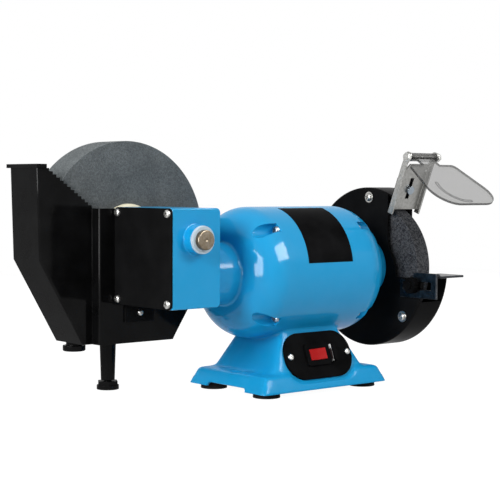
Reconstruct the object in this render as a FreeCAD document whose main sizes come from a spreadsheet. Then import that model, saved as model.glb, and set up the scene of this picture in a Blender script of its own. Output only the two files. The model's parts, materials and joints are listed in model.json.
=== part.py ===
import FreeCAD, Part
import math
import os
import Sketcher

# Wet and dry bench grinder, in millimetres.
# Origin: middle of the base on the bench. +X runs along the motor axis to the dry wheel,
# -Y is the side of the switch, +Z is up.

SIZES = {
    # motor
    "barrel_height": 58,
    "motor_radius": 70,
    "shell_length": 100,
    "shell_wall": 3,
    "bell_straight": 10,
    "bell_ring": 3,
    "bell_wall": 4,
    "bell_face_wall": 6,
    "neck_radius": 33,
    "neck_length": 40,
    "neck_fillet": 2.4,
    "boss_length": 24,
    "boss_groove": 2.5,
    "groove_depth": 3,
    "seal_bore_radius": 14,
    "tie_inset": 5,
    "tie_boss_radius": 10,
    "tie_pocket_radius": 7.5,
    "tie_pocket_floor": 8,
    "tie_lug_radius": 4.8,
    "tie_lug_length": 13,
    "tie_screw_radius": 2.5,
    "tie_head_radius": 4.5,
    "tie_head_height": 3.5,
    "bearing_radius": 20,
    "bearing_width": 12,
    "stator_length": 70,
    "stator_bore_radius": 38.2,
    "winding_inner_radius": 42,
    "winding_outer_radius": 52,
    "winding_overhang": 12,
    "air_gap": 0.5,
    "rotor_ring_length": 8,
    "rotor_ring_inner": 22,
    "shaft_radius": 10,
    "bearing_seat_radius": 8.5,
    "worm_seat_radius": 7.5,
    "running_gap": 0.05,
    "sliding_gap": 0.3,
    # gearbox and worm gears
    "gearbox_length": 60,
    "gearbox_front": 47,
    "gearbox_back": 50,
    "gearbox_below": 30,
    "gearbox_above": 70,
    "gearbox_wall": 6,
    "gearbox_corner": 5,
    "cover_thickness": 2,
    "cover_corner": 7.5,
    "cover_screw_inset": 5.5,
    "cover_post_radius": 4.8,
    "cover_screw_radius": 1.7,
    "cover_screw_length": 12,
    "cover_head_radius": 4.3,
    "cover_head_height": 2.8,
    "neck_screw_circle": 26,
    "neck_screw_radius": 2.5,
    "neck_screw_length": 16,
    "neck_head_radius": 4.2,
    "neck_head_height": 4,
    "wet_axis_inset": 32,
    "gear_module": 1.75,
    "gear_teeth": 22,
    "worm_pitch_radius": 19.75,
    "worm_length": 40,
    "worm_turns": 5,
    "worm_thread_width": 2.45,
    "wheel_tooth_width": 2.3,
    "gear_face_width": 14,
    "gear_hub_radius": 13,
    "gear_hub_length": 40,
    "front_boss_radius": 14.5,
    "front_boss_length": 11,
    "rear_boss_radius": 16,
    "rear_boss_length": 8,
    "bush_wall": 2.5,
    "bush_flange": 2.5,
    # wet wheel
    "wet_shaft_radius": 10,
    "wet_shaft_proud": 5,
    "wet_shaft_chamfer": 1.2,
    "wet_thread_radius": 8,
    "wet_wheel_radius": 100,
    "wet_wheel_width": 40,
    "wet_wheel_chamfer": 1.5,
    "wet_wheel_standoff": 20,
    "wet_flange_radius": 34,
    "wet_flange_rim": 6,
    "wet_flange_hub_radius": 18,
    "wet_flange_gap": 0.5,
    "wet_nut_flats": 30,
    "wet_nut_height": 10,
    # trough
    "trough_wall": 2.5,
    "trough_front_gap": 4,
    "trough_back_gap": 4.5,
    "trough_left": 114,
    "trough_taper": 3,
    "trough_bottom_left": 60,
    "trough_bottom_right": 56,
    "trough_right": 83,
    "trough_depth": 111,
    "trough_knee": 23,
    "trough_low_end": 70,
    "trough_right_shoulder": 17,
    "trough_right_slant": 40,
    "trough_top": 29.5,
    "trough_high": 74.5,
    "trough_lip_length": 10,
    "trough_lip_height": 4,
    "trough_lip_proud": 2.5,
    "trough_slope_end": 49,
    "trough_steps": 13,
    "bump_half_width": 49,
    "bump_right": 63,
    "bump_slant_height": 30,
    "bump_slant_run": 18,
    "shaft_hole_gap": 0.6,
    "notch_half_width": 42,
    "notch_below": 47,
    "notch_corner": 12,
    "bracket_thickness": 2.5,
    "bracket_half_width": 18,
    "bracket_foot": 22,
    "bracket_drop": 20,
    "bracket_screw_drop": 10.5,
    "bracket_screw_radius": 2.5,
    "bracket_head_radius": 4.5,
    "bracket_head_height": 3,
    "drain_left": 47,
    "drain_back": 16,
    "drain_radius": 6.5,
    "drain_neck_radius": 8.5,
    "drain_neck_height": 4,
    "drain_cap_radius": 12,
    "drain_cap_height": 6,
    "drain_plug_depth": 5,
    "leg_back": 9.5,
    "leg_top_radius": 9,
    "leg_end_radius": 7.5,
    "leg_end_height": 10,
    "leg_bore_radius": 4.3,
    "leg_bore_depth": 30,
    "leg_foot_radius": 12,
    "leg_foot_height": 9,
    "leg_foot_flats": 20.4,
    "leg_stud_radius": 4,
    "leg_stud_length": 22,
    # dry wheel and guard
    "guard_radius": 91,
    "guard_plate": 2,
    "guard_rim_end": 37,
    "guard_lid": 3.5,
    "guard_corner": 3,
    "guard_lower_lip": 36.4,
    "guard_shelf": 9.5,
    "guard_edge_top": 35,
    "guard_edge_low": 48,
    "guard_bend": 30,
    "guard_screw_circle": 80,
    "guard_screw_radius": 2.5,
    "guard_head_radius": 4.6,
    "guard_head_height": 3,
    "guard_nut_height": 3.5,
    "guard_mount_circle": 24,
    "guard_mount_radius": 2.5,
    "guard_mount_length": 12,
    "wheel_bore_radius": 6.35,
    "dry_wheel_radius": 75,
    "dry_wheel_width": 20,
    "dry_wheel_inset": 7,
    "dry_wheel_chamfer": 1,
    "dry_flange_radius": 25,
    "dry_flange_thickness": 3.5,
    "dry_flange_relief": 1,
    "dry_nut_flats": 19,
    "dry_nut_height": 6.5,
    # tool rest
    "rest_thickness": 2.5,
    "rest_gap": 2.5,
    "rest_depth": 34.5,
    "rest_right": 42,
    "rest_below_axis": 3,
    "rest_leg_height": 28,
    "rest_leg_start": 58,
    "rest_leg_drop": 8,
    "rest_step": 2.7,
    "rest_slot_from": 62.5,
    "rest_slot_to": 104,
    "rest_bolt_front": 78,
    "rest_bolt_below": 17,
    "rest_bolt_radius": 4,
    "rest_bolt_head_radius": 6.5,
    "rest_bolt_head_height": 2.5,
    "rest_bolt_length": 14,
    "knob_radius": 9,
    "knob_height": 7,
    "knob_flutes": 10,
    "knob_flute_radius": 1.8,
    "knob_flute_depth": 0.9,
    # spark arrester and eye shield
    "arrester_tilt": 21.7,
    "arrester_front": 38,
    "arrester_above": 67,
    "arrester_width": 45,
    "arrester_sheet": 2,
    "arrester_flange": 7.5,
    "arrester_flange_drop": 4,
    "arrester_height": 57,
    "arrester_bend": 46,
    "arrester_lean": 6,
    "arrester_relief": 4,
    "arrester_slot_low": 13,
    "arrester_slot_high": 38,
    "arrester_bolt_height": 24,
    "arrester_bolt_radius": 2.5,
    "arrester_head_radius": 4.8,
    "arrester_head_height": 3,
    "arrester_tail": 6,
    "tab_start": 12,
    "tab_end": 37,
    "pivot_height": 65,
    "pivot_front": 6.5,
    "pivot_ear_radius": 5.5,
    "pivot_ear_corner": 3.8,
    "pivot_radius": 2.5,
    "pivot_nut_radius": 4.5,
    "pivot_nut_height": 4,
    "shield_slope": 34,
    "shield_thickness": 2.5,
    "shield_sleeve_radius": 4.8,
    "shield_neck_half": 13,
    "shield_neck_length": 17,
    "shield_top_half": 36,
    "shield_end_half": 53,
    "shield_length": 92,
    "shield_corner": 26,
    # base
    "base_half_length": 90,
    "base_half_width": 64.5,
    "base_corner": 6,
    "base_clearance": 5,
    "skirt_height": 18,
    "skirt_draft": 6,
    "skirt_edge": 2,
    "base_wall": 4,
    "end_shelf": 25,
    "front_shelf": 11.5,
    "pedestal_top_x": 38,
    "pedestal_top_y": 33,
    "pedestal_height": 50,
    "pedestal_corner": 7,
    "roof_thickness": 5,
    "arch_half_width": 31,
    "arch_height": 3.8,
    "plate_height": 9,
    "plate_thickness": 1.5,
    "plate_gap": 2.5,
    "plate_front_gap": 10,
    "plate_hole_gap": 0.8,
    "foot_inset_x": 20.5,
    "foot_inset_y": 20.5,
    "foot_radius": 14.5,
    "foot_taper": 1,
    "foot_boss_radius": 8,
    "foot_screw_radius": 2.5,
    "foot_screw_length": 14,
    "foot_head_radius": 4.5,
    "foot_head_height": 3,
    "foot_recess": 5,
    "mount_inset": 17,
    "mount_hole_radius": 4.25,
    "mount_boss_radius": 7,
    "gland_x": 25,
    "gland_height": 40,
    "gland_radius": 6,
    "gland_flange_radius": 8.5,
    "gland_flange": 2.5,
    "gland_nose": 5,
    "gland_length": 9,
    "gland_bore": 3.6,
    "capacitor_radius": 16,
    "capacitor_length": 60,
    "capacitor_y": 14,
    # switch
    "switch_height": 39,
    "seat_depth": 0.5,
    "seat_margin": 4,
    "seat_block_half": 46,
    "seat_block_width": 7.5,
    "seat_block_lift": 2,
    "switch_plate_half": 47.5,
    "switch_plate_rise": 25.5,
    "switch_plate_corner": 23.5,
    "switch_plate_thickness": 3,
    "switch_screw_x": 41,
    "switch_screw_radius": 1.7,
    "switch_screw_length": 12,
    "switch_head_radius": 3.4,
    "switch_head_height": 2,
    "switch_shift": 3,
    "switch_body_half": 14,
    "switch_body_rise": 9.5,
    "switch_body_depth": 20,
    "bezel_margin": 2.5,
    "bezel_height": 2.5,
    "fence_width": 8,
    "fence_height": 5,
    "rocker_half": 10.5,
    "rocker_rise": 6,
    "rocker_throw": 8,
    "rocker_depth": 5,
    "rocker_end_depth": 1,
    "rocker_proud": 3.5,
    "rocker_dip": 0.8,
    "rocker_pin_radius": 1.5,
    "rocker_pin_end": 1.5,
}

DOC = FreeCAD.newDocument("wet_and_dry_grinder")
SHEET = DOC.addObject("Spreadsheet::Sheet", "Sizes")
NODES = []


def fill_sheet():
    for row, (name, value) in enumerate(SIZES.items(), 1):
        SHEET.set(f"A{row}", name)
        SHEET.set(f"B{row}", str(value))
        SHEET.setAlias(f"B{row}", name)
    DOC.recompute()


class Size:
    """A length known both as a number and as the expression that gives it."""

    def __init__(self, value, text):
        self.value = value
        self.text = text

    @staticmethod
    def of(thing):
        if isinstance(thing, Size):
            return thing
        return Size(float(thing), repr(float(thing)))

    def join(self, other, sign, value):
        return Size(value, f"({self.text} {sign} {other.text})")

    def __add__(self, other):
        other = Size.of(other)
        return self.join(other, "+", self.value + other.value)

    def __radd__(self, other):
        return Size.of(other) + self

    def __sub__(self, other):
        other = Size.of(other)
        return self.join(other, "-", self.value - other.value)

    def __rsub__(self, other):
        return Size.of(other) - self

    def __mul__(self, other):
        other = Size.of(other)
        return self.join(other, "*", self.value * other.value)

    def __rmul__(self, other):
        return Size.of(other) * self

    def __truediv__(self, other):
        other = Size.of(other)
        return self.join(other, "/", self.value / other.value)

    def __neg__(self):
        return Size(-self.value, f"(0 - {self.text})")

    def root(self):
        return Size(math.sqrt(self.value), f"sqrt({self.text})")

    def sin(self):
        return Size(math.sin(math.radians(self.value)), f"sin({self.text} * 1 deg)")

    def cos(self):
        return Size(math.cos(math.radians(self.value)), f"cos({self.text} * 1 deg)")


class Driving:
    """The driving dimensions by name."""

    def __getattr__(self, name):
        return Size(float(SIZES[name]), f"Sizes.{name}")


d = Driving()


def bind(item, prop, length):
    length = Size.of(length)
    if "Sizes." in length.text:
        item.setExpression(prop, length.text)
    return length.value


def along(length, angle):
    """The two parts of a length laid at an angle in degrees."""
    angle = Size.of(angle)
    return length * angle.cos(), length * angle.sin()


# Places worked out from the driving dimensions
axis = d.barrel_height + d.motor_radius
tie_circle = d.motor_radius - d.tie_inset
dome_radius = d.motor_radius - d.neck_radius - d.bell_ring
shell_end = d.shell_length / 2
bell_end = shell_end + d.bell_straight + dome_radius
bearing_in = bell_end - d.bell_face_wall
bearing_out = bearing_in + d.bearing_width
gearbox_right = -(bell_end + d.neck_length)
gearbox_left = gearbox_right - d.gearbox_length
cover_left = gearbox_left - d.cover_thickness
gearbox_bottom = axis - d.gearbox_below
gearbox_top = axis + d.gearbox_above
gear_radius = d.gear_module * d.gear_teeth / 2
wet_x = gearbox_right - d.wet_axis_inset
wet_z = axis + d.worm_pitch_radius + gear_radius
boss_front = d.gearbox_front + d.front_boss_length
boss_back = d.gearbox_back + d.rear_boss_length
wet_bore = d.wet_shaft_radius + d.running_gap
wet_wheel_front = d.gearbox_back + d.wet_wheel_standoff
wet_wheel_back = wet_wheel_front + d.wet_wheel_width
trough_front = wet_wheel_front - d.trough_front_gap - d.trough_wall
trough_back = wet_wheel_back + d.trough_back_gap + d.trough_wall
trough_bottom = wet_z - d.trough_depth
trough_top = wet_z + d.trough_top
trough_high = wet_z + d.trough_high
leg_y = trough_back - d.leg_back
guard_x = bell_end + d.boss_length
guard_inside = guard_x + d.guard_plate
guard_rim_end = guard_x + d.guard_rim_end
guard_end = guard_rim_end + d.guard_lid
lid_inside = guard_end - d.guard_plate
dry_left = guard_x + d.dry_wheel_inset
dry_right = dry_left + d.dry_wheel_width
dry_flange_left = dry_left - d.dry_flange_thickness
dry_flange_right = dry_right + d.dry_flange_thickness
skirt_top = d.base_clearance + d.skirt_height
pedestal_top = skirt_top + d.pedestal_height
plate_top = d.plate_height + d.plate_thickness
pedestal_foot_x = d.base_half_length - d.end_shelf
pedestal_foot_y = d.base_half_width - d.front_shelf
foot_x = d.base_half_length - d.foot_inset_x
foot_y = d.base_half_width - d.foot_inset_y
mount_x = d.base_half_length - d.mount_inset
arrester_x = (guard_x + guard_end) / 2


class Piece:
    """One piece made from sketches on the planes of its own body."""

    PLANES = {"XY": 1, "XZ": -1, "YZ": 1}

    def __init__(self, name, place=None):
        self.body = DOC.addObject("PartDesign::Body", name)
        if place:
            place(self.body)

    def sketch(self, plane, level, shift=(0, 0)):
        """An empty sketch on a plane at a level along the plane's world axis."""
        made = self.body.newObject("Sketcher::SketchObject", f"{self.body.Name}_sketch")
        role = f"{plane}_Plane"
        support = [f for f in self.body.Origin.OriginFeatures if f.Role == role][0]
        made.AttachmentSupport = (support, [""])
        made.MapMode = "FlatFace"
        level = Size.of(level) * self.PLANES[plane]
        moves = [Size.of(shift[0]), Size.of(shift[1]), level]
        made.AttachmentOffset = FreeCAD.Placement(
            FreeCAD.Vector(*[move.value for move in moves]), FreeCAD.Rotation())
        for letter, move in zip("xyz", moves):
            bind(made, f"AttachmentOffset.Base.{letter}", move)
        return made

    def feature(self, kind, sketch, start=None, end=None):
        made = self.body.newObject(f"PartDesign::{kind}", f"{self.body.Name}_{kind.lower()}")
        made.Profile = sketch
        if start is not None:
            length = Size.of(end) - start
            made.Length = length.value
            bind(made, "Length", length)
        sketch.Visibility = False
        return made

    def pad(self, plane, start, end, outline=None, circles=()):
        level = end if plane == "XZ" else start
        sketch = self.sketch(plane, level)
        draw(sketch, outline, circles)
        self.feature("Pad", sketch, start, end)
        return self

    def pocket(self, plane, start, end, outline=None, circles=()):
        level = start if plane == "XZ" else end
        sketch = self.sketch(plane, level)
        draw(sketch, outline, circles)
        self.feature("Pocket", sketch, start, end)
        return self

    def turn(self, about, outline, kind="Revolution", at=(0, 0)):
        """A turned form about the motor axis, the wet axis or an upright axis at a place."""
        if about == "motor":
            sketch = self.sketch("XZ", 0, (0, axis))
        elif about == "wet":
            sketch = self.sketch("YZ", wet_x, (0, wet_z))
        else:
            sketch = self.sketch("XZ", at[1], (at[0], 0))
        draw(sketch, outline)
        made = self.feature(kind, sketch)
        made.ReferenceAxis = (sketch, ["V_Axis" if about == "upright" else "H_Axis"])
        made.Angle = 360
        return self

    def loft(self, kind, sections):
        """A straight-sided loft between outlines, each given with its height."""
        sketches = []
        for height, outline in sections:
            sketch = self.sketch("XY", height)
            draw(sketch, outline)
            sketch.Visibility = False
            sketches.append(sketch)
        made = self.feature(f"{kind}Loft", sketches[0])
        made.Sections = sketches[1:]
        made.Ruled = True
        return self

    def done(self):
        return keep(self.body)


def keep(item):
    NODES.append(item)
    return item


def draw(sketch, outline=None, circles=()):
    """Draws a closed outline of corners (u, v) or (u, v, radius), and circles (u, v, radius)."""
    rules = []
    sizes = []

    def rule(size, kind, *where):
        size = Size.of(size)
        rules.append(Sketcher.Constraint(kind, *where, size.value))
        sizes.append((len(rules) - 1, size))

    def fix(geometry, point, corner):
        rule(corner[0], "DistanceX", -1, 1, geometry, point)
        rule(corner[1], "DistanceY", -1, 1, geometry, point)

    if outline:
        spots = [FreeCAD.Vector(Size.of(c[0]).value, Size.of(c[1]).value, 0) for c in outline]
        count = len(spots)
        rounds = [corner_round(spots, i, outline[i]) for i in range(count)]
        lines = []
        for i in range(count):
            begin = rounds[i]["leave"]
            finish = rounds[(i + 1) % count]["enter"]
            lines.append(sketch.addGeometry(Part.LineSegment(begin, finish), False))
        for i in range(count):
            before = lines[i - 1]
            after = lines[i]
            arc = rounds[i]["arc"]
            if arc is None:
                rules.append(Sketcher.Constraint("Coincident", before, 2, after, 1))
                fix(after, 1, outline[i])
                continue
            made = sketch.addGeometry(arc, False)
            first, last = (1, 2) if rounds[i]["left"] else (2, 1)
            rules.append(Sketcher.Constraint("Tangent", before, 2, made, first))
            rules.append(Sketcher.Constraint("Tangent", made, last, after, 1))
            rule(outline[i][2], "Radius", made)
            corner = sketch.addGeometry(Part.Point(spots[i]), True)
            rules.append(Sketcher.Constraint("PointOnObject", corner, 1, before))
            rules.append(Sketcher.Constraint("PointOnObject", corner, 1, after))
            fix(corner, 1, outline[i])
    for circle in circles:
        centre = FreeCAD.Vector(Size.of(circle[0]).value, Size.of(circle[1]).value, 0)
        ring = Part.Circle(centre, FreeCAD.Vector(0, 0, 1), Size.of(circle[2]).value)
        made = sketch.addGeometry(ring, False)
        fix(made, 3, circle)
        rule(circle[2], "Radius", made)
    sketch.addConstraint(rules)
    for place, size in sizes:
        bind(sketch, f"Constraints[{place}]", size)


def corner_round(spots, i, corner):
    """The points where the lines beside a corner stop, and the arc between them."""
    spot = spots[i]
    if len(corner) < 3:
        return {"enter": spot, "leave": spot, "arc": None, "left": True}
    radius = Size.of(corner[2]).value
    back = (spots[i - 1] - spot).normalize()
    ahead = (spots[(i + 1) % len(spots)] - spot).normalize()
    half = back.getAngle(ahead) / 2
    enter = spot + back * (radius / math.tan(half))
    leave = spot + ahead * (radius / math.tan(half))
    centre = spot + (back + ahead).normalize() * (radius / math.sin(half))
    left = (back * -1).cross(ahead).z > 0
    first, last = (enter, leave) if left else (leave, enter)
    start = math.atan2(first.y - centre.y, first.x - centre.x)
    stop = math.atan2(last.y - centre.y, last.x - centre.x)
    ring = Part.Circle(centre, FreeCAD.Vector(0, 0, 1), radius)
    arc = Part.ArcOfCircle(ring, start, stop if stop > start else stop + 2 * math.pi)
    return {"enter": enter, "leave": leave, "arc": arc, "left": left}


def rectangle(half_u, half_v, corner=None, middle=(0, 0)):
    signs = [(-1, -1), (1, -1), (1, 1), (-1, 1)]
    spots = [(Size.of(middle[0]) + half_u * a, Size.of(middle[1]) + half_v * b) for a, b in signs]
    return [spot + ((corner,) if corner is not None else ()) for spot in spots]


def hexagon(flats, middle=(0, 0)):
    radius = flats / math.sqrt(3)
    spots = [along(radius, 60 * k) for k in range(6)]
    return [(Size.of(middle[0]) + u, Size.of(middle[1]) + v) for u, v in spots]


TURNS = {
    "x": FreeCAD.Rotation(FreeCAD.Vector(0, 1, 0), 90),
    "y": FreeCAD.Rotation(FreeCAD.Vector(1, 0, 0), -90),
    "z": FreeCAD.Rotation(),
}


def put(item, spot, turn=FreeCAD.Rotation()):
    spot = [Size.of(part) for part in spot]
    item.Placement = FreeCAD.Placement(FreeCAD.Vector(*[part.value for part in spot]), turn)
    for letter, part in zip("xyz", spot):
        bind(item, f"Placement.Base.{letter}", part)
    return item


def rod(spot, way, length, radius, end_radius=None):
    """A round bar, or a cone where the end has its own radius."""
    if end_radius is None:
        made = DOC.addObject("Part::Cylinder", "rod")
        made.Radius = bind(made, "Radius", radius)
    else:
        made = DOC.addObject("Part::Cone", "taper")
        made.Radius1 = bind(made, "Radius1", radius)
        made.Radius2 = bind(made, "Radius2", end_radius)
    made.Height = bind(made, "Height", length)
    return put(made, spot, TURNS[way])


def join(name, items):
    made = DOC.addObject("Part::MultiFuse", name)
    made.Shapes = items
    return made


def group(name, items):
    made = DOC.addObject("Part::Compound", name)
    made.Links = items
    return made


def cut(name, base, tools):
    made = DOC.addObject("Part::Cut", name)
    made.Base = base
    made.Tool = tools[0] if len(tools) == 1 else group(f"{name}_tools", tools)
    return made


def shaped(name, shape):
    made = DOC.addObject("Part::Feature", name)
    made.Shape = shape
    return made


def screw(spot, way, sign, head_radius, head_height, radius, length):
    """A screw whose head stands on a spot and whose shank runs from there along sign * way."""
    index = "xyz".index(way)
    low = [Size.of(part) for part in spot]
    head = list(low)
    shank = list(low)
    if sign > 0:
        head[index] = head[index] - head_height
    else:
        shank[index] = shank[index] - length
    return join("screw", [rod(head, way, head_height, head_radius), rod(shank, way, length, radius)])


def four_corners(half_u, half_v):
    return [(half_u * a, half_v * b) for a in (-1, 1) for b in (-1, 1)]


def tie_spots():
    """Places of the tie screws round the motor axis, as Y and Z."""
    spots = [along(tie_circle, angle) for angle in (45, 135, 225, 315)]
    return [(y, axis + z) for y, z in spots]


# Base
def base_pedestal():
    casting = Piece("base_casting")
    draft_x = d.base_half_length - d.skirt_draft
    draft_y = d.base_half_width - d.skirt_draft
    casting.loft("Additive", [
        (d.base_clearance, rectangle(d.base_half_length, d.base_half_width, d.base_corner)),
        (skirt_top - d.skirt_edge, rectangle(draft_x, draft_y, d.base_corner)),
        (skirt_top, rectangle(draft_x - d.skirt_edge, draft_y - d.skirt_edge,
                              d.base_corner - d.skirt_edge)),
    ])
    casting.loft("Additive", [
        (skirt_top, rectangle(pedestal_foot_x, pedestal_foot_y, d.pedestal_corner)),
        (pedestal_top, rectangle(d.pedestal_top_x, d.pedestal_top_y, d.pedestal_corner)),
    ])
    saddle = shell_end
    radius = d.motor_radius
    casting.turn("motor", [(-saddle, 0), (saddle, 0), (saddle, radius), (-saddle, radius)], "Groove")
    ceiling = skirt_top - d.base_wall
    casting.loft("Subtractive", [
        (d.base_clearance, rectangle(d.base_half_length - d.base_wall, d.base_half_width - d.base_wall,
                                     d.base_corner - d.base_wall)),
        (ceiling, rectangle(draft_x - d.base_wall, draft_y - d.base_wall, d.base_corner - d.base_wall)),
    ])
    roof = d.barrel_height - d.roof_thickness
    share = (roof - skirt_top) / d.pedestal_height
    roof_x = pedestal_foot_x - (pedestal_foot_x - d.pedestal_top_x) * share - d.base_wall
    roof_y = pedestal_foot_y - (pedestal_foot_y - d.pedestal_top_y) * share - d.base_wall
    inner_corner = d.pedestal_corner - d.base_wall
    casting.loft("Subtractive", [
        (ceiling, rectangle(pedestal_foot_x - d.base_wall, pedestal_foot_y - d.base_wall, inner_corner)),
        (roof, rectangle(roof_x, roof_y, inner_corner)),
    ])
    feet = four_corners(foot_x, foot_y)
    bolts = [(-mount_x, 0), (mount_x, 0)]
    boss_top = ceiling + d.base_wall / 2
    casting.pad("XY", plate_top, boss_top, circles=[spot + (d.foot_boss_radius,) for spot in feet])
    casting.pad("XY", d.base_clearance + d.arch_height, boss_top,
                circles=[spot + (d.mount_boss_radius,) for spot in bolts])
    foot_hole = d.foot_screw_radius + d.running_gap
    casting.pocket("XY", plate_top, ceiling, circles=[spot + (foot_hole,) for spot in feet])
    casting.pocket("XY", 0, pedestal_top, circles=[spot + (d.mount_hole_radius,) for spot in bolts])
    casting.pocket("YZ", -d.base_half_length, d.base_half_length, rectangle(
        d.arch_half_width, d.arch_height, None, (0, d.base_clearance)))
    # The seat of the switch plate is cut into the skirt, with a block behind it
    block = DOC.addObject("Part::Box", "seat_block")
    block_low = d.base_clearance + d.seat_block_lift
    block.Length = bind(block, "Length", d.seat_block_half * 2)
    block.Width = bind(block, "Width", d.seat_block_width)
    block.Height = bind(block, "Height", ceiling + d.base_wall / 4 - block_low)
    put(block, (-d.seat_block_half, -draft_y, block_low))
    seat = Piece("switch_seat", lambda body: on_switch_face(body, 0, 0, 0))
    margin = d.seat_margin
    seat.pad("XY", 0, d.skirt_height, rectangle(
        d.switch_plate_half + margin, d.switch_plate_rise + margin, d.switch_plate_corner + margin))
    window = DOC.addObject("Part::Box", "switch_window")
    gap = d.sliding_gap
    half = d.switch_body_half + gap
    rise = d.switch_body_rise + gap
    window.Length = bind(window, "Length", half * 2)
    window.Width = bind(window, "Width", rise * 2)
    window.Height = bind(window, "Height", d.switch_body_depth * 2)
    on_switch_face(window, -half - d.switch_shift, -rise, -d.switch_body_depth)
    pilots = []
    for side in (-1, 1):
        pilot = rod((0, 0, 0), "z", d.switch_screw_length, d.switch_screw_radius + d.running_gap)
        pilots.append(on_switch_face(pilot, side * d.switch_screw_x, 0, -d.switch_screw_length))
    gland = on_back_face(rod((0, 0, 0), "z", d.gland_length * 2, d.gland_radius), -d.gland_length)
    form = join("base_form", [casting.body, block])
    keep(cut("base_pedestal", form, [seat.body, window, gland] + pilots))


def base_underside():
    plate = Piece("base_plate")
    feet = four_corners(foot_x, foot_y)
    half_length = d.base_half_length - d.base_wall - d.plate_gap
    half_width = d.base_half_width - d.base_wall - d.plate_front_gap
    holes = [spot + (d.foot_screw_radius + d.sliding_gap,) for spot in feet]
    bolts = [(side * mount_x, 0, d.mount_boss_radius + d.plate_hole_gap) for side in (-1, 1)]
    outline = rectangle(half_length, half_width, d.base_corner - d.base_wall)
    plate.pad("XY", d.plate_height, plate_top, outline)
    plate.pocket("XY", d.plate_height, plate_top, circles=holes + bolts)
    plate.done()
    rubber = []
    screws = []
    for x, y in feet:
        foot = rod((x, y, 0), "z", d.plate_height, d.foot_radius, d.foot_radius - d.foot_taper)
        recess = rod((x, y, 0), "z", d.foot_recess, d.foot_head_radius + d.sliding_gap)
        bore = rod((x, y, 0), "z", d.plate_height, d.foot_screw_radius + d.running_gap)
        rubber.append(cut("foot", foot, [join("foot_bore", [recess, bore])]))
        screws.append(screw((x, y, d.foot_recess), "z", 1, d.foot_head_radius, d.foot_head_height,
                            d.foot_screw_radius, d.foot_screw_length))
    keep(group("rubber_feet", rubber))
    keep(group("foot_screws", screws))


def base_contents():
    capacitor = Piece("capacitor")
    height = plate_top + d.capacitor_radius + d.running_gap
    half = d.capacitor_length / 2
    capacitor.pad("YZ", -half, half, circles=[(d.capacitor_y, height, d.capacitor_radius)])
    capacitor.pad("YZ", half, half + d.base_wall, circles=[(d.capacitor_y, height, d.capacitor_radius / 3)])
    capacitor.done()
    flange = d.gland_flange
    nose_radius = (d.gland_radius + d.gland_bore) / 2
    sleeve = rod((0, 0, 0), "z", d.gland_length + flange, d.gland_radius - d.running_gap)
    on_back_face(sleeve, -d.gland_length)
    collar = on_back_face(rod((0, 0, 0), "z", flange, d.gland_flange_radius), 0)
    nose = on_back_face(rod((0, 0, 0), "z", d.gland_nose, d.gland_radius, nose_radius), flange)
    bore = on_back_face(rod((0, 0, 0), "z", d.gland_length * 3, d.gland_bore), -d.gland_length)
    keep(cut("cable_gland", join("gland_body", [sleeve, collar, nose]), [bore]))


# Switch, laid out on the sloped front face of the pedestal
face_run = pedestal_foot_y - d.pedestal_top_y
face_length = (face_run * face_run + d.pedestal_height * d.pedestal_height).root()
face_sin = face_run / face_length
face_cos = d.pedestal_height / face_length
switch_y = -(pedestal_foot_y - face_run * (d.switch_height - skirt_top) / d.pedestal_height)


def face_turn():
    """Angle that lays a piece on the sloped face, and the expression for it."""
    lean = math.degrees(math.atan2(face_run.value, d.pedestal_height.value))
    return Size(90 - lean, f"(90 - atan({face_run.text} / {d.pedestal_height.text}) / 1 deg)")


def on_switch_face(item, across, up, out):
    """Lays a piece on the sunk seat of the switch plate."""
    turn = face_turn()
    across, up, out = [Size.of(part) for part in (across, up, out)]
    out = out - d.seat_depth
    spot = (
        across,
        switch_y + up * face_sin - out * face_cos,
        d.switch_height + up * face_cos + out * face_sin,
    )
    put(item, spot, FreeCAD.Rotation(FreeCAD.Vector(1, 0, 0), turn.value))
    bind(item, "Placement.Rotation.Angle", turn)
    return item


def on_back_face(item, out):
    """Sets a round piece square on the sloped back face, at the place of the cable gland."""
    turn = -face_turn()
    out = Size.of(out)
    wall = pedestal_foot_y - face_run * (d.gland_height - skirt_top) / d.pedestal_height
    spot = (-d.gland_x, wall + out * face_cos, d.gland_height + out * face_sin)
    put(item, spot, FreeCAD.Rotation(FreeCAD.Vector(1, 0, 0), turn.value))
    bind(item, "Placement.Rotation.Angle", turn)
    return item


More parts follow.
